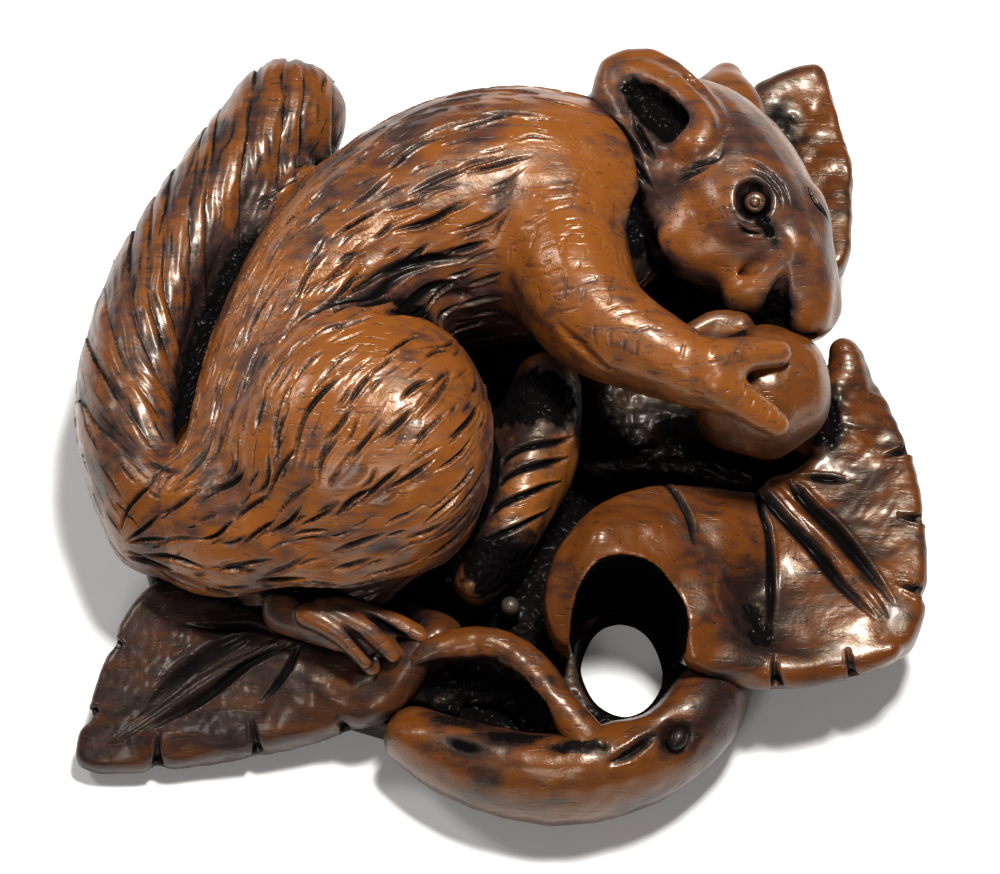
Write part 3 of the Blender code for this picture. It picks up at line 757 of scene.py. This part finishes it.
def cut_flutes(skin, amount):
    """Slanting flutes along the tail, round on top with narrow dark valleys."""
    chosen = np.nonzero(amount > 0.01)[0]
    amount = amount[chosen]
    points = skin.points[chosen]
    along, across = tail_place(points)
    slant = radians(FLUTE_ANGLE)
    phase = along * sin(slant) - across * cos(slant)
    phase += 0.14 * ripple(points, 9.0, seed=3)
    rng = np.random.default_rng(SEED + 1)
    edges = -12 + np.cumsum(FLUTE_PITCH * rng.uniform(0.6, 1.5, 60))
    slot = np.clip(np.searchsorted(edges, phase), 1, len(edges) - 1)
    place = (phase - edges[slot - 1]) / (edges[slot] - edges[slot - 1])
    depth = rng.uniform(0.26, 0.46, 61)[slot]
    skin.dent[chosen] += amount * depth * (0.8 * place**1.7 + 0.45 * (1 - place) ** 4)
    fine = np.sin(6.28 * (phase / 0.7 + 0.6 * ripple(points, 6.0, seed=4)))
    skin.dent[chosen] += amount * 0.02 * fine
    side = np.maximum(smoothstep(0.82, 1.0, place), 0.9 * smoothstep(0.08, 0.0, place))
    patchy = np.clip(0.65 + 0.5 * ripple(points, 4.0, seed=8), 0.1, 1)
    skin.mark("ink", amount * side * patchy, chosen)
    skin.mark("stain", amount * smoothstep(0.3, 1.0, place) * patchy, chosen)


def cut_coat(skin):
    away = skin.part_distances()
    forearm = away.argmin(axis=0) == 2
    on_tail = smoothstep(-0.2, 1.2, away[:3].min(axis=0) - away[3])
    along, _ = tail_place(skin.points)
    locks = on_tail * smoothstep(-0.3, 0.4, skin.normals[:, 2])
    cut_flutes(skin, locks * smoothstep(40, 26, along))
    upward = smoothstep(-0.5, 0.1, skin.normals[:, 2])
    # fur on the back and haunch, sparse on the shoulder and none on the forearm
    x, y, _ = skin.points.T
    shoulder = near("near_arm", (-3, 9, 3))[0]
    bare = smoothstep(4.5, 9.0, np.hypot((x - shoulder[0]) * 1.2, y - shoulder[1]))
    fur = (1 - on_tail) * upward * ~forearm * bare
    for x0, y0, _, radius in near("haunch", (-3, -9.5, 4, 5), (6, -9, 2, 5), (-10, -4.5, 0, 3)):
        fur *= 1 - 0.75 * np.exp(-((x - x0) ** 2 + (y - y0) ** 2) / radius**2)
    for weight, heading, spacing, low, high, width, depth, ink in (
        (fur, fur_heading, 2.8, 2.4, 5, 0.55, 0.05, 0),
        (fur, fur_heading, 2, 3, 6, 0.23, 0.27, 1),
        (fur, fur_heading, 1.6, 1.5, 3.6, 0.15, 0.15, 0.8),
        (locks * smoothstep(37, 32, along), tail_heading, 1.5, 2.5, 5, 0.16, 0.12, 0.8),
    ):
        starts = skin.scatter(weight, spacing)
        length = RNG.uniform(low, high, len(starts))
        sway = RNG.uniform(-16, 16, len(starts))
        lean = RNG.normal(0, 7, len(starts))
        runs = skin.hairs(skin.points[starts], lambda p: heading(p) + lean, length, sway)
        for run in runs:
            wide = width * RNG.uniform(0.7, 1.3)
            strength = RNG.uniform(0.6, 1)
            skin.cut(run, wide, depth * strength * 1.2, ink * strength, lip=0.45, smudge=0.6 * strength)
    # scratches across the forearm
    starts = skin.scatter(forearm * smoothstep(0.3, 0.7, skin.normals[:, 2]), 0.8)
    length = RNG.uniform(0.8, 2.6, len(starts))
    lean = np.where(RNG.random(len(starts)) < 0.4, 75.0, 12.0) + RNG.normal(0, 8, len(starts))
    runs = skin.hairs(skin.points[starts], lambda p: lean, length, np.zeros(len(starts)))
    for run in runs:
        skin.cut(run, 0.12, 0.07, 0.35, ends=(0.2, 0.2))
    skin.blacken(*[(x, y, z, 1.3, 1.6, 2.4, 1) for x, y, z, _ in CHEEK_GAP[2:]], node="head")
    skin.score(
        0.5, 0.35, ((6.4, 11, 5), (2.6, 9.2, 7.2), (-2.4, 7.8, 8.3), (-5, 6.4, 8.3)), ((5.4, 9.4, 5.2),
        (2.2, 8.2, 7), (-1.6, 7.2, 8)), ((7.8, 10.8, 3.4), (5.2, 9, 5), (3.2, 7.8, 6.4)),
        ((8.6, 12.2, 4.6), (5.4, 10.6, 6.4), (1.6, 9.8, 8)), node="haunch"
    )
    skin.blacken((5, 7.8, 4.6, 2.2, 1.6, 2.4, 1), node="haunch")
    skin.tint(
        (-1, 13.4, 6.6, 3.6, 0.35), (5, 14.4, 6.4, 3, 0.25), (-8, 9.4, 6, 3.4, 0.3),
        (-1.7, 6.6, 8.1, 3.6, 0.3), (1.7, 11.6, 7.5, 3.2, 0.25), (-6.5, 3.1, 7.4, 3.4, 0.3),
        (-8.5, -2, 6.8, 2.6, 0.15), (-11.1, -6.5, 6.7, 2.8, 0.25), (-15.1, -15.5, 3.6, 2.6, 0.3),
        (8, 10.5, 8.2, 2.6, -0.15), (10.7, 3.2, 8.6, 3, -0.15), (6.2, -0.2, -2, 3.4, 0.35),
        (4.5, 0, 2.9, 1.8, 0.25)
    )
    skin.tint((1.5, -1.5, 9, 5, -0.15), (4.2, 4.4, 8, 2.2, 0.1), node="haunch")


def cut_head(skin):
    skin.score(
        0.2, 0.2, ((1.4, 0.2, 7.3), (2.4, 0, 7.1), (3.5, -0.8, 6.8), (4.4, -1.9, 6.5), (4.8, -3.3, 6.3)),
        ((1.9, -0.5, 7.2), (3.1, -1.2, 6.8), (3.9, -2.3, 6.6), (4.2, -3.4, 6.5)), ink=0.7
    )
    skin.score(
        0.22, 0.18, ((1, -4.1, 6), (1.8, -4.7, 5.9), (2.8, -5, 6)), ((6, -0.8, 5), (6.5, -2.1, 4.8),
        (7.2, -3, 3.9)), ink=0.9
    )
    skin.score(
        0.13, 0.1, ((-0.2, -2.2, 6.6), (1, -1.8, 6.7)), ((-0.2, -3.3, 6), (0.8, -3.1, 6.2)),
        ((0.1, -3.6, 5.9), (1, -3.5, 6)), ink=0.5
    )
    skin.score(
        0.25, 0.2, ((0.2, 1.4, 7.3), (-0.3, 0.3, 7.2), (-1.6, 0, 6.8), (-3.2, -0.3, 6.2)),
        ((-0.6, -0.3, 7), (-2, -0.6, 6.6), (-3.6, -1.2, 6)), ink=0.8
    )
    skin.score(
        0.36, 0.3, ((-7.7, 5, 4.8), (-6.4, 2.9, 5), (-5.2, 0.7, 4.8)), ((-7, 3, 4.6), (-6, 1.2, 4.8),
        (-4.6, -0.9, 4.6)), ((-6.2, 4.6, 4.8), (-5.2, 2.6, 5.2), (-4.4, 1, 5))
    )
    skin.blacken(*[(x, y, z, 1.5, 1.7, 2.4, 1) for x, y, z, _ in CHEEK_GAP[1:]])
    skin.blacken(
        (-2, 1.1, 2.4, 0.9, 0.9, 0.9, 1), (-1.2, 0.2, 2.2, 1.5, 1.5, 1.5, 1),
        (0, -1.1, 2, 1.9, 1.9, 1.9, 1), (0.9, -2, 2.3, 1.7, 1.7, 1.7, 1), node="near_ear"
    )
    # round the eye, its corner, the mouth and the nostril
    skin.blacken((2.25, -2.9, 6.6, 1.3, 1.5, 1.3, 1), (2.8, -4.2, 6.6, 0.6, 0.6, 1.2, 1))
    skin.blacken((3.3, -4.9, 6.5, 0.5, 0.5, 1.2, 1), (3.7, -5.6, 6.4, 0.35, 0.35, 1.2, 1))
    skin.blacken((3.9, -9.2, 2.4, 1.2, 1.7, 2.4, 1))
    skin.tint(
        (2.6, 2.6, 6.6, 3.4, 0.4), (5.6, -2.6, 5.4, 3, 0.5), (6.4, -6.6, 3.6, 2.2, 0.35),
        (-5.8, 2, 4.8, 2.8, 0.4), (0.6, 5.4, 4.6, 2.4, 0.2), (-2.6, -1.6, 6, 2.4, 0.2),
        (-1.2, -4.6, 5, 2.4, -0.05)
    )
    skin.blacken((6.2, -10, 1.2, 0.6, 0.6, 0.6, 1))


def cut_eye(skin):
    middle = near("eye", (0, -0.25, 0.35))[0]
    look = np.array((-0.08, -0.46, 0.88))
    away = skin.points - middle
    side = np.linalg.norm(away - (away @ look)[:, None] * look, axis=1)
    ring = np.exp(-(((side - 0.36) / 0.08) ** 2)) * (away @ look > 0)
    skin.dent += 0.1 * ring
    skin.mark("ink", np.maximum(ring, smoothstep(0.64, 0.76, side)))


def cut_upper_leaf(skin):
    skin.lump((1.6, 1, 1.4, 6, 0.22, 3.4, 41), (1.6, 1, 1.4, 6, 0.05, 1.2, 42))
    skin.blacken((-0.6, 2.6, 1.4, 1.6, 2.6, 1.4, 0.8))
    skin.tint((1.4, 0, 1.4, 8, 0.25), (2, 7.4, 1.2, 1.4, -0.4))


def cut_nut(skin):
    skin.lump((0, 0, 4, 5, 0.06, 1.6, 51))
    skin.blacken((-2.2, 2.6, 3.4, 1.6, 1.2, 1.6, 0.8))


def cut_leaf_stem(skin):
    skin.lump((0, 0, 0, 8, 0.25, 1.4, 61))
    skin.rough[:] = 1.0
    skin.ink[:] = 1.0


def cut_curled_leaf(skin):
    skin.blacken((0.3, -1.3, -0.6, 6, 2.9, 3.2, 1), (-0.6, 0.2, -0.4, 4.8, 2, 2.3, 1))
    skin.lump((0.2, -1.2, -1, 4, 0.3, 1.2, 71))
    skin.tint((4.1, 1.9, 2.3, 3, 0.2), (-4, 2, 1.6, 3, 0.2))


def cut_hind_foot(skin):
    skin.score(
        0.32, 0.25, ((-0.2, -0.6, 2.2), (1.2, -1.8, 1.4), (2.6, -2.9, 0.6)), ((1.2, 0.4, 2),
        (2.8, -0.5, 1.4), (4.4, -1.5, 0.6)), ((-2, 1.4, 2), (0, 1.3, 1.8)), ends=(0.4, 0.05)
    )
    skin.tint((-2.4, 0.6, 1.6, 3, 0.3), (2, -0.8, 1.2, 3, 0.15))


def cut_far_leg(skin):
    skin.blacken((1, 4.6, 2.6, 4.4, 2.8, 3.6, 1), (-3.7, 0.2, 1.4, 2.1, 6, 2.6, 0.8))
    skin.blacken((-1.2, -6.8, 0.4, 3.2, 2.6, 2.8, 1))
    skin.tint((-2.6, -2.6, 2.6, 2, 0.6), (0.4, 1.6, 3.4, 2, 0.4))
    skin.score(
        0.28, 0.3, ((-1.5, -0.4, 3), (1.8, 1, 3), (3.8, 2.4, 1.6)), ((-1.8, -2, 3), (1.4, -0.6, 3.2),
        (3.8, 0.8, 1.6)), ((-2, -4, 2.4), (1.2, -2.2, 2.8), (3.4, -1, 1.4)), ((-2.4, -5.8, 1.8),
        (0.6, -4.4, 2.2), (2.8, -3, 1)), ends=(0.1, 0.4)
    )


def cut_left_leaf(skin):
    skin.lump((-6, -1, 1, 6, 0.05, 1.6, 31), (4, -3, 1.6, 5, 0.12, 3.2, 32))
    skin.tint((-9.5, -1.9, 0.6, 5, 0.4), (-3, 0.4, 2, 5, 0.35), (4, -2.6, 1.6, 3, 0.1))
    skin.blacken((9.6, 1.4, 3, 1.6, 1.2, 1.6, 1))
    skin.score(
        0.35, 0.3, ((-6.1, 2.6, 1.7), (-3.8, 2.2, 2), (-1.2, 2, 2.6), (0.8, 1.2, 3)), ((2.3, 0.6, 3),
        (2, 0.2, 2.7), (1.4, -0.9, 2.4), (0.5, -2.1, 1.4), (-0.5, -2.9, 0.6))
    )
    skin.score(0.75, 0.35, ((-8.2, -3, 0.5), (-6.1, -1.3, 1.3), (-3.7, 0.4, 1.8), (-1, 1.7, 2.6)), ink=0.9)
    skin.score(0.5, -0.3, ((-10.9, -5.4, -0.7), (-7.6, -3.6, 0.2), (-4.2, -1.4, 1.2), (1.4, 1.2, 3)), ink=0)
    skin.score(0.42, 0.4, ((-8.1, -4.6, -0.1), (-4.4, -2.6, 1), (-1.2, -0.4, 2.1), (1.8, 0.6, 3)))
    skin.score(
        0.4, 0.45, ((-10.9, 1.6, 0.8), (-10, 1.2, 1.1)), ((-12.5, -3.2, -0.3), (-11.6, -3, 0)),
        ((-7.7, -6.8, -2), (-7.6, -5.6, -0.8), (-7.3, -4.6, -0.2)), ((-0.7, -6.2, -1.6),
        (-0.9, -4.8, -0.3), (-1.2, -3.8, 0.3)), ((5.5, -5, -1), (5.2, -4.2, 0.6), (4.8, -3.4, 1.4)),
        ends=(0, 0.7)
    )


def cut_right_leaf(skin):
    skin.lump((9.6, -0.6, -1.2, 6, 0.09, 4.6, 21), (8.6, -1, -1.2, 7, 0.025, 1.3, 22))
    skin.lump((8, 8, -1.2, 3.6, 0.2, 2.6, 23), (-6, -3, 2.6, 4, 0.04, 1.8, 24))
    skin.blacken((1.2, -7.6, -0.4, 1, 1.4, 1.4, 0.8), (1.6, -9.3, -0.8, 1.2, 1.5, 1.6, 0.8))
    skin.blacken((6.4, 7.4, -1.2, 1.5, 2.6, 1.8, 1))
    skin.tint(
        (1.5, -8.4, -0.5, 3.6, 0.8), (8.8, -0.4, -1.2, 5, 0.35), (9.8, 6.4, -1.5, 3, 0.35),
        (-7, -4, 3, 3, -0.1), (2, -12, -1, 1.6, -0.2), (8, -11.4, -1, 1.6, -0.2)
    )
    skin.score(
        0.3, 0.3, ((-6.9, 3.3, -0.9), (-4.5, 0.9, 1.3), (-3.2, -1.6, 1.5), (-3, -4.2, 2.2)),
        ((1.3, 1.8, -1.4), (1.9, -0.2, -0.2), (2.3, -2, -0.4), (2.4, -5.6, -1.3), (2.1, -10.2, -0.1)),
        ends=(0.1, 0.3)
    )
    skin.score(
        0.5, 0.45, ((1.2, 2.1, -0.8), (3.2, -0.2, -0.7), (5.5, -2.7, -1.2), (7.5, -5.8, -0.7),
        (9.6, -8.2, -0.5)), ((3.8, 2.7, -1.3), (5.6, 0.4, -1.3), (7.3, -1.6, -1.2), (9.2, -4.6, -0.7),
        (10.9, -7.1, -0.6)), ends=(0.1, 0.35)
    )
    skin.score(
        0.55, -0.3, ((2.6, 2.3, -0.8), (4.5, 0.2, -0.7), (6.4, -2.1, -1.2), (8.4, -5.2, -0.7),
        (10.4, -8, -0.5)), ink=0
    )
    skin.score(0.28, 0.25, ((4.6, 3.1, -1.4), (6.4, 2.9, -1.5), (8.3, 2.8, -1.5)))
    skin.score(
        0.42, 0.5, ((12.9, 5.5, -1.9), (11.8, 5, -1.5), (10.4, 4.6, -1.4)), ((13.6, -0.1, -1.6),
        (12.4, -0.2, -1.2), (11.2, 0.1, -1.1)), ((13.2, -5.8, -1.3), (12, -5.6, -0.8),
        (11, -5.2, -0.7)), ((2.7, -13, -1.5), (2.5, -11.9, -0.3), (2.6, -10.8, -0.4)),
        ((8.1, -12.3, -2.4), (7.7, -11.3, -1), (7.5, -10.2, -0.8)), ends=(0, 0.7)
    )


def cut_twig(skin):
    skin.lump((0, -3, 3, 8, 0.06, 3.2, 81))
    skin.blacken((-7.4, 0.6, 2.6, 2.4, 1, 1.6, 0.7), (-3.6, -1, 3.4, 2.6, 0.8, 1.4, 0.8))
    skin.blacken((0.6, -2.2, 4.2, 2.2, 0.7, 1.2, 0.9))
    skin.blacken((0, 0, 0, 1.3, 1, 1.4, 1), node="twig_knot")
    skin.tint((-6.6, -1.4, 3.2, 3.4, 0.3), (10, 0.7, 3.3, 3.6, 0.7), (2, -5.3, 2, 4, -0.15))
    skin.score(0.45, 0.45, ((2.4, -3.6, 4), (4.1, -2.7, 4.2), (6.2, -1, 3.9)))
    skin.score(0.55, 0.12, ((-8.8, -1, 3), (-7.1, -1.9, 3.3), (-5.4, -2.4, 3.6)))
    skin.score(0.3, 0.3, ((2.5, -1.8, 4.1), (2.1, -2.5, 4.2)))


def cut_twig_knot(skin):
    skin.ink[:] = 0.8


# ---- materials


# black of the ink fill, also used for painted shade in the deepest hollows and on the tunnel wall
INK_AND_SHADE_BLACK = (0.003, 0.0024, 0.0026)
ROUGHNESS = 0.33


def wood_material(name, light, dark, shine):
    """Stained wood: the piece's own patina and ink, together with the painted shade that these marks also
    carry, broken up by noise and by fine grain pores.
    """
    material = bpy.data.materials.new(name)
    material.use_nodes = True
    tree = material.node_tree
    shader = tree.nodes["Principled BSDF"]

    def put(node, inputs):
        """Set or link a node's inputs."""
        for key, value in inputs.items():
            socket = node.inputs[key]
            if isinstance(value, bpy.types.NodeSocket):
                tree.links.new(value, socket)
            elif socket.type == "RGBA":
                socket.default_value = (*value, 1)
            else:
                socket.default_value = value

    def new(kind, inputs, output="Fac", **settings):
        node = tree.nodes.new("ShaderNode" + kind)
        for key, value in settings.items():
            setattr(node, key, value)
        put(node, inputs)
        return node.outputs[output]

    def attribute(key):
        return new("Attribute", {}, attribute_name=key)

    place = new("TexCoord", {}, "Object")

    def noise(scale, detail, stretch=(1, 1, 1), turn=0.0):
        lie = {"Vector": place, "Scale": stretch, "Rotation": (0, 0, radians(turn))}
        return new("TexNoise", {"Vector": new("Mapping", lie, "Vector"), "Scale": scale, "Detail": detail})

    def maths(kind, a, b, clamp=False):
        return new("Math", {0: a, 1: b}, "Value", operation=kind, use_clamp=clamp)

    def spread(value, low, high, to_low=0.0, to_high=1.0):
        ends = {"Value": value, "From Min": low, "From Max": high, "To Min": to_low, "To Max": to_high}
        return new("MapRange", ends, "Result", interpolation_type="SMOOTHSTEP")

    def mix(factor, a, b):
        return new("Mix", {"Factor": factor, "A": a, "B": b}, "Result", data_type="RGBA")

    patina_and_shade = attribute("patina_and_shade")
    ink = attribute("ink")
    clouds = noise(260, 4)
    pores = noise(3600, 2, stretch=(0.14, 1, 1), turn=-6)
    streaks = noise(1500, 3, stretch=(0.1, 1, 1), turn=-6)
    fine = noise(5200, 2)
    shade = maths("ADD", patina_and_shade, spread(clouds, 0.36, 0.66, -0.18, 0.26))
    shade = maths("ADD", shade, spread(streaks, 0.35, 0.7, -0.14, 0.20), clamp=True)
    wood = mix(spread(shade, 0.0, 0.8), light, dark)
    wood = mix(spread(shade, 0.6, 1.1), wood, tuple(0.35 * a + 0.65 * b for a, b in zip(dark, INK_AND_SHADE_BLACK)))
    wood = mix(spread(pores, 0.62, 0.70, 0.0, 0.5), wood, tuple(0.3 * c for c in dark))
    # ink fill, with the painted shade black of the deepest hollows and the tunnel wall
    inked = maths("ADD", ink, spread(fine, 0.3, 0.7, -0.15, 0.15), clamp=True)
    colour = mix(spread(inked, 0.3, 0.75), wood, INK_AND_SHADE_BLACK)
    bare = maths("SUBTRACT", 1.0, attribute("matt"))
    coat = maths("MULTIPLY", bare, spread(ink, 0.4, 1.0, 0.14, 0.04))
    dull = maths("ADD", maths("MULTIPLY", patina_and_shade, 0.05), maths("MULTIPLY", ink, 0.12))
    dull = maths("ADD", dull, spread(clouds, 0.3, 0.7, ROUGHNESS - 0.05, ROUGHNESS + 0.07))
    gloss = maths("SUBTRACT", spread(ink, 0.4, 1.0, shine, 0.25), maths("MULTIPLY", patina_and_shade, 0.6 * shine))
    gloss = maths("MULTIPLY", bare, gloss)
    height = maths("ADD", maths("MULTIPLY", fine, 0.35), maths("MULTIPLY", spread(pores, 0.58, 0.7), -0.6))
    height = maths("ADD", height, maths("MULTIPLY", noise(1600, 3), 0.9))
    relief = new("Bump", {"Strength": 0.6, "Distance": 0.00006, "Height": height}, "Normal")
    put(shader, {"Base Color": colour, "Roughness": dull, "Normal": relief})
    put(shader, {"Coat Weight": coat, "Coat Roughness": 0.16})
    put(shader, {"Specular IOR Level": gloss, "Specular Tint": (1, 0.82, 0.64)})
    return material


# ---- studio


def add_object(name, data):
    made = bpy.data.objects.new(name, data)
    bpy.context.scene.collection.objects.link(made)
    return made


def add_camera():
    data = bpy.data.cameras.new("camera")
    data.sensor_width = 36.0
    data.lens = 178.9
    data.clip_start = 0.01
    camera = add_object("camera", data)
    elevation = radians(65)
    target = Vector((0, 0, 0.006))
    back = Vector((0, -cos(elevation), sin(elevation)))
    right = Vector((1, 0, 0))
    turn = Matrix((right, back.cross(right), back)).transposed().to_4x4()
    camera.matrix_world = Matrix.Translation(target + back * 0.350) @ turn
    bpy.context.scene.camera = camera


def add_area(name, place, size, power, colour):
    data = bpy.data.lights.new(name, "AREA")
    data.shape = "RECTANGLE"
    data.size, data.size_y = size
    data.energy = power
    data.color = colour
    light = add_object(name, data)
    turn = Vector(place).normalized().to_track_quat("Z", "Y").to_matrix().to_4x4()
    light.matrix_world = Matrix.Translation(Vector(place)) @ turn


def add_studio():
    scene = bpy.context.scene
    scene.view_settings.view_transform = "Standard"
    world = bpy.data.worlds.new("studio")
    scene.world = world
    world.use_nodes = True
    sky = world.node_tree.nodes["Background"].inputs
    sky["Color"].default_value = (1.0, 0.99, 0.98, 1)
    sky["Strength"].default_value = 0.07
    add_area("key", (0.055, 0.062, 0.340), (0.06, 0.045), 1.95, (1.0, 0.97, 0.93))
    add_area("front", (-0.05, -0.22, 0.26), (0.10, 0.07), 0.26, (1.0, 0.98, 0.96))
    add_area("side", (-0.20, 0.10, 0.20), (0.05, 0.07), 0.25, (1.0, 0.98, 0.96))
    mesh = bpy.data.meshes.new("floor")
    reach = 0.9
    corners = [(-reach, -reach, 0), (reach, -reach, 0), (reach, reach, 0), (-reach, reach, 0)]
    mesh.from_pydata(corners, [], [(0, 1, 2, 3)])
    paper = bpy.data.materials.new("paper")
    paper.use_nodes = True
    shader = paper.node_tree.nodes["Principled BSDF"]
    shader.inputs["Base Color"].default_value = (0.9, 0.9, 0.9, 1)
    shader.inputs["Roughness"].default_value = 0.85
    mesh.materials.append(paper)
    add_object("floor", mesh)


# ---- the object


# what is carved together: the clay to start from, its form and its cuts
PIECES = {
    "coat": (Clay(*COAT, soften=0.6), sculpt_coat, cut_coat),
    "head": (Clay(*HEAD, soften=0.5, spare=3), sculpt_head, cut_head),
    "eye": (Clay("eye"), sculpt_eye, cut_eye),
    "nut": (Clay("nut", soften=0.5, grow=0.2), None, cut_nut),
    "far_paw": (Clay("far_paw", soften=0.3), sculpt_far_paw, None),
    "hind_foot": (Clay("hind_foot", soften=0.25), sculpt_hind_foot, cut_hind_foot),
    "far_leg": (Clay("far_leg", soften=0.5), sculpt_far_leg, cut_far_leg),
    "left_leaf": (Clay("left_leaf", soften=0.4, grow=0.1), sculpt_left_leaf, cut_left_leaf),
    "right_leaf": (Clay("right_leaf", soften=0.42, grow=0.1), sculpt_right_leaf, cut_right_leaf),
    "upper_leaf": (Clay("upper_leaf", soften=0.35, grow=0.1), sculpt_upper_leaf, cut_upper_leaf),
    "curled_leaf": (Clay("curled_leaf", soften=0.35, spare=2.5), sculpt_curled_leaf, cut_curled_leaf),
    "twig": (Clay("twig", soften=0.5), sculpt_twig, cut_twig),
    "twig_knot": (Clay("twig_knot"), sculpt_twig_knot, cut_twig_knot),
    "bud": (Clay("bud", soften=0.2, grow=0.05), None, None),
    "leaf_stem": (Clay("leaf_stem", soften=0.3, grow=-0.15), None, cut_leaf_stem),
}
FINE_PIECES = ("coat", "head", "eye", "left_leaf", "right_leaf", "hind_foot", "far_leg")
# slot in the record: nodes, clean colour, stained colour, patina it starts with, gloss
WOODS = {
    "fur_wood": (("torso", "haunch", "near_arm"), (0.18, 0.053, 0.0068), (0.046, 0.019, 0.015), 0.12, 0.6),
    "head_wood": (
        (*HEAD, "far_paw", "hind_foot"), (0.15, 0.044, 0.0066), (0.04, 0.018, 0.015), 0.2, 0.5
    ),
    "tail_wood": (("tail",), (0.135, 0.04, 0.0066), (0.03, 0.015, 0.014), 0.22, 0.42),
    "nut_wood": (("nut",), (0.118, 0.032, 0.0034), (0.046, 0.013, 0.0045), 0.12, 0.85),
    "leg_wood": (("far_leg",), (0.21, 0.068, 0.011), (0.028, 0.012, 0.009), 0.1, 0.9),
    "brown_leaf_wood": (
        ("right_leaf", "upper_leaf"), (0.098, 0.026, 0.0033), (0.02, 0.008, 0.006), 0.16, 0.5
    ),
    "grey_leaf_wood": (("left_leaf",), (0.06, 0.0185, 0.0052), (0.017, 0.0085, 0.0085), 0.32, 0.4),
    "stem_wood": (("twig", "curled_leaf"), (0.112, 0.032, 0.0044), (0.026, 0.01, 0.007), 0.2, 0.5),
    "black_ground": (
        ("twig_knot", "leaf_stem", "leaf_bed"), (0.05, 0.024, 0.013), (0.008, 0.006, 0.006), 0.6, 0.5
    ),
    "eye_gloss": (("eye",), (0.075, 0.027, 0.01), (0.02, 0.01, 0.008), 0.1, 0.8),
    "bud_grey": (("bud",), (0.045, 0.036, 0.026), (0.014, 0.012, 0.01), 0.3, 0.3),
}
SLOTS = {node: slot for slot, (nodes, *_) in WOODS.items() for node in nodes}
materials = {}


def add_piece(node, skin, chosen, marks, depth, drop):
    points, normals, faces, used = close_patch(skin, chosen, depth, drop)
    mesh = bpy.data.meshes.new(node)
    mesh.from_pydata((points * MM).tolist(), [], faces)
    mesh.shade_smooth()
    for key, values in marks.items():
        layer = mesh.attributes.new(key, "FLOAT", "POINT")
        full = np.zeros(len(points), np.float32)
        full[: len(used)] = values[used]
        layer.data.foreach_set("value", full)
    mesh.normals_split_custom_set_from_vertices(normals.tolist())
    slot = SLOTS[node]
    if slot not in materials:
        _, light, dark, _, shine = WOODS[slot]
        materials[slot] = wood_material(slot, light, dark, shine)
    mesh.materials.append(materials[slot])
    piece = add_object(node + "_carving", mesh)
    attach(piece, "root")
    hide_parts(node)


def finish_skin(name, skin, hollows, clays):
    """Stipple and stain a skin, paint shade into its hollows, its flanks and the cord's way, then make a
    piece for each of its nodes.
    """
    small, middle, wide = hollows.at(skin.points + skin.normals * 0.25)
    # how enclosed each place is: it darkens the colour in hollows, creases and between parts, partly the
    # carving's real dark patina there and partly painted shade
    closed = smoothstep(0.44, 0.78, middle) * 0.6 + smoothstep(0.42, 0.75, wide) * 0.6
    deep = smoothstep(0.55, 0.95, closed)
    worn = smoothstep(0.24, 0.12, small)
    depth = BED_DEPTH if name == "ground" else None
    nodes = list(skin.clay.parts) or [name]
    owner = skin.part_distances().argmin(axis=0)
    start = np.array([WOODS[SLOTS[node]][3] for node in nodes])[owner]
    if name == "ground":
        top = smoothstep(BED_TOP - 1.2, BED_TOP - 0.4, skin.points[:, 2])
        top *= smoothstep(0.3, 0.8, skin.normals[:, 2]) * smoothstep(0.35, 0.5, wide)
        skin.dent += top * (0.24 * pits(skin.points, 0.6) + 0.2 * ripple(skin.points, 1.8, seed=9))
        skin.mark("ink", top)
    # painted shade: the wall of the cord's way is painted black and made matt, so that it keeps no
    # reflection
    inwards = TUNNEL.mean(axis=0)[:2] - skin.points[:, :2]
    gap = np.hypot(*inwards.T)
    inward = np.sum(inwards * skin.normals[:, :2], axis=1) / gap
    shaded_tunnel_wall = smoothstep(*TUNNEL_SHADE_REACH, gap) * smoothstep(0.35, 0.65, inward)
    # black goes into the deepest hollows, partly the carving's real black ground and partly painted shade,
    # and onto the tunnel wall as painted shade
    skin.mark("ink", np.maximum(deep, shaded_tunnel_wall))
    skin.rough = np.maximum(skin.rough, deep) * (1 - 0.85 * shaded_tunnel_wall)
    skin.dent += 0.14 * skin.rough * pits(skin.points, 0.5) + 0.03 * ripple(skin.points, 3.0)
    # painted shade: surfaces that face sideways or down are darkened
    side = smoothstep(0.55, 0.05, skin.normals[:, 2])
    # matt takes the reflections off the tunnel wall's painted shade, and half of them off the ground
    matt = np.maximum(shaded_tunnel_wall, 0.5 if name == "ground" else 0.0)
    # closed adds partly painted shade and side adds painted shade to this patina
    patina_and_shade = start + 0.7 * closed + 0.6 * skin.stain + skin.tone + 0.25 * side - 0.35 * worn
    patina_and_shade += 0.15 * ripple(skin.points, 5.0, seed=5)
    marks = {"patina_and_shade": np.clip(patina_and_shade, 0, 1), "ink": np.clip(skin.ink, 0, 1), "matt": matt}
    skin.settle()
    face_owner = owner[skin.quads[:, 0]]
    hiders = [clay for key, clay in clays.items() if (key == "ground") != (name == "ground")]
    sunk = np.min([clay.away(skin.points) for clay in hiders], axis=0)
    buried = (sunk < (BURIED_BED if name == "ground" else BURIED))[skin.quads].all(axis=1)
    for number, node in enumerate(nodes):
        chosen = (face_owner == number) & ~buried
        add_piece(node, skin, chosen, marks, depth, NECK_DROP if name == "head" else 0.0)


add_camera()
add_studio()
for clay, form, _ in PIECES.values():
    if form:
        form(clay)
    open_tunnel(clay)
ground = sculpt_ground([clay for name, (clay, _, _) in PIECES.items() if name not in ("eye", "bud")])
open_tunnel(ground)
PIECES["ground"] = (ground, None, None)
clays = {name: clay for name, (clay, _, _) in PIECES.items()}
hollows = Hollows(list(clays.values()))
for name, (clay, _, cuts) in PIECES.items():
    skin = Skin(clay, fine=FINE and name in FINE_PIECES)
    if cuts:
        cuts(skin)
    finish_skin(name, skin, hollows, clays)
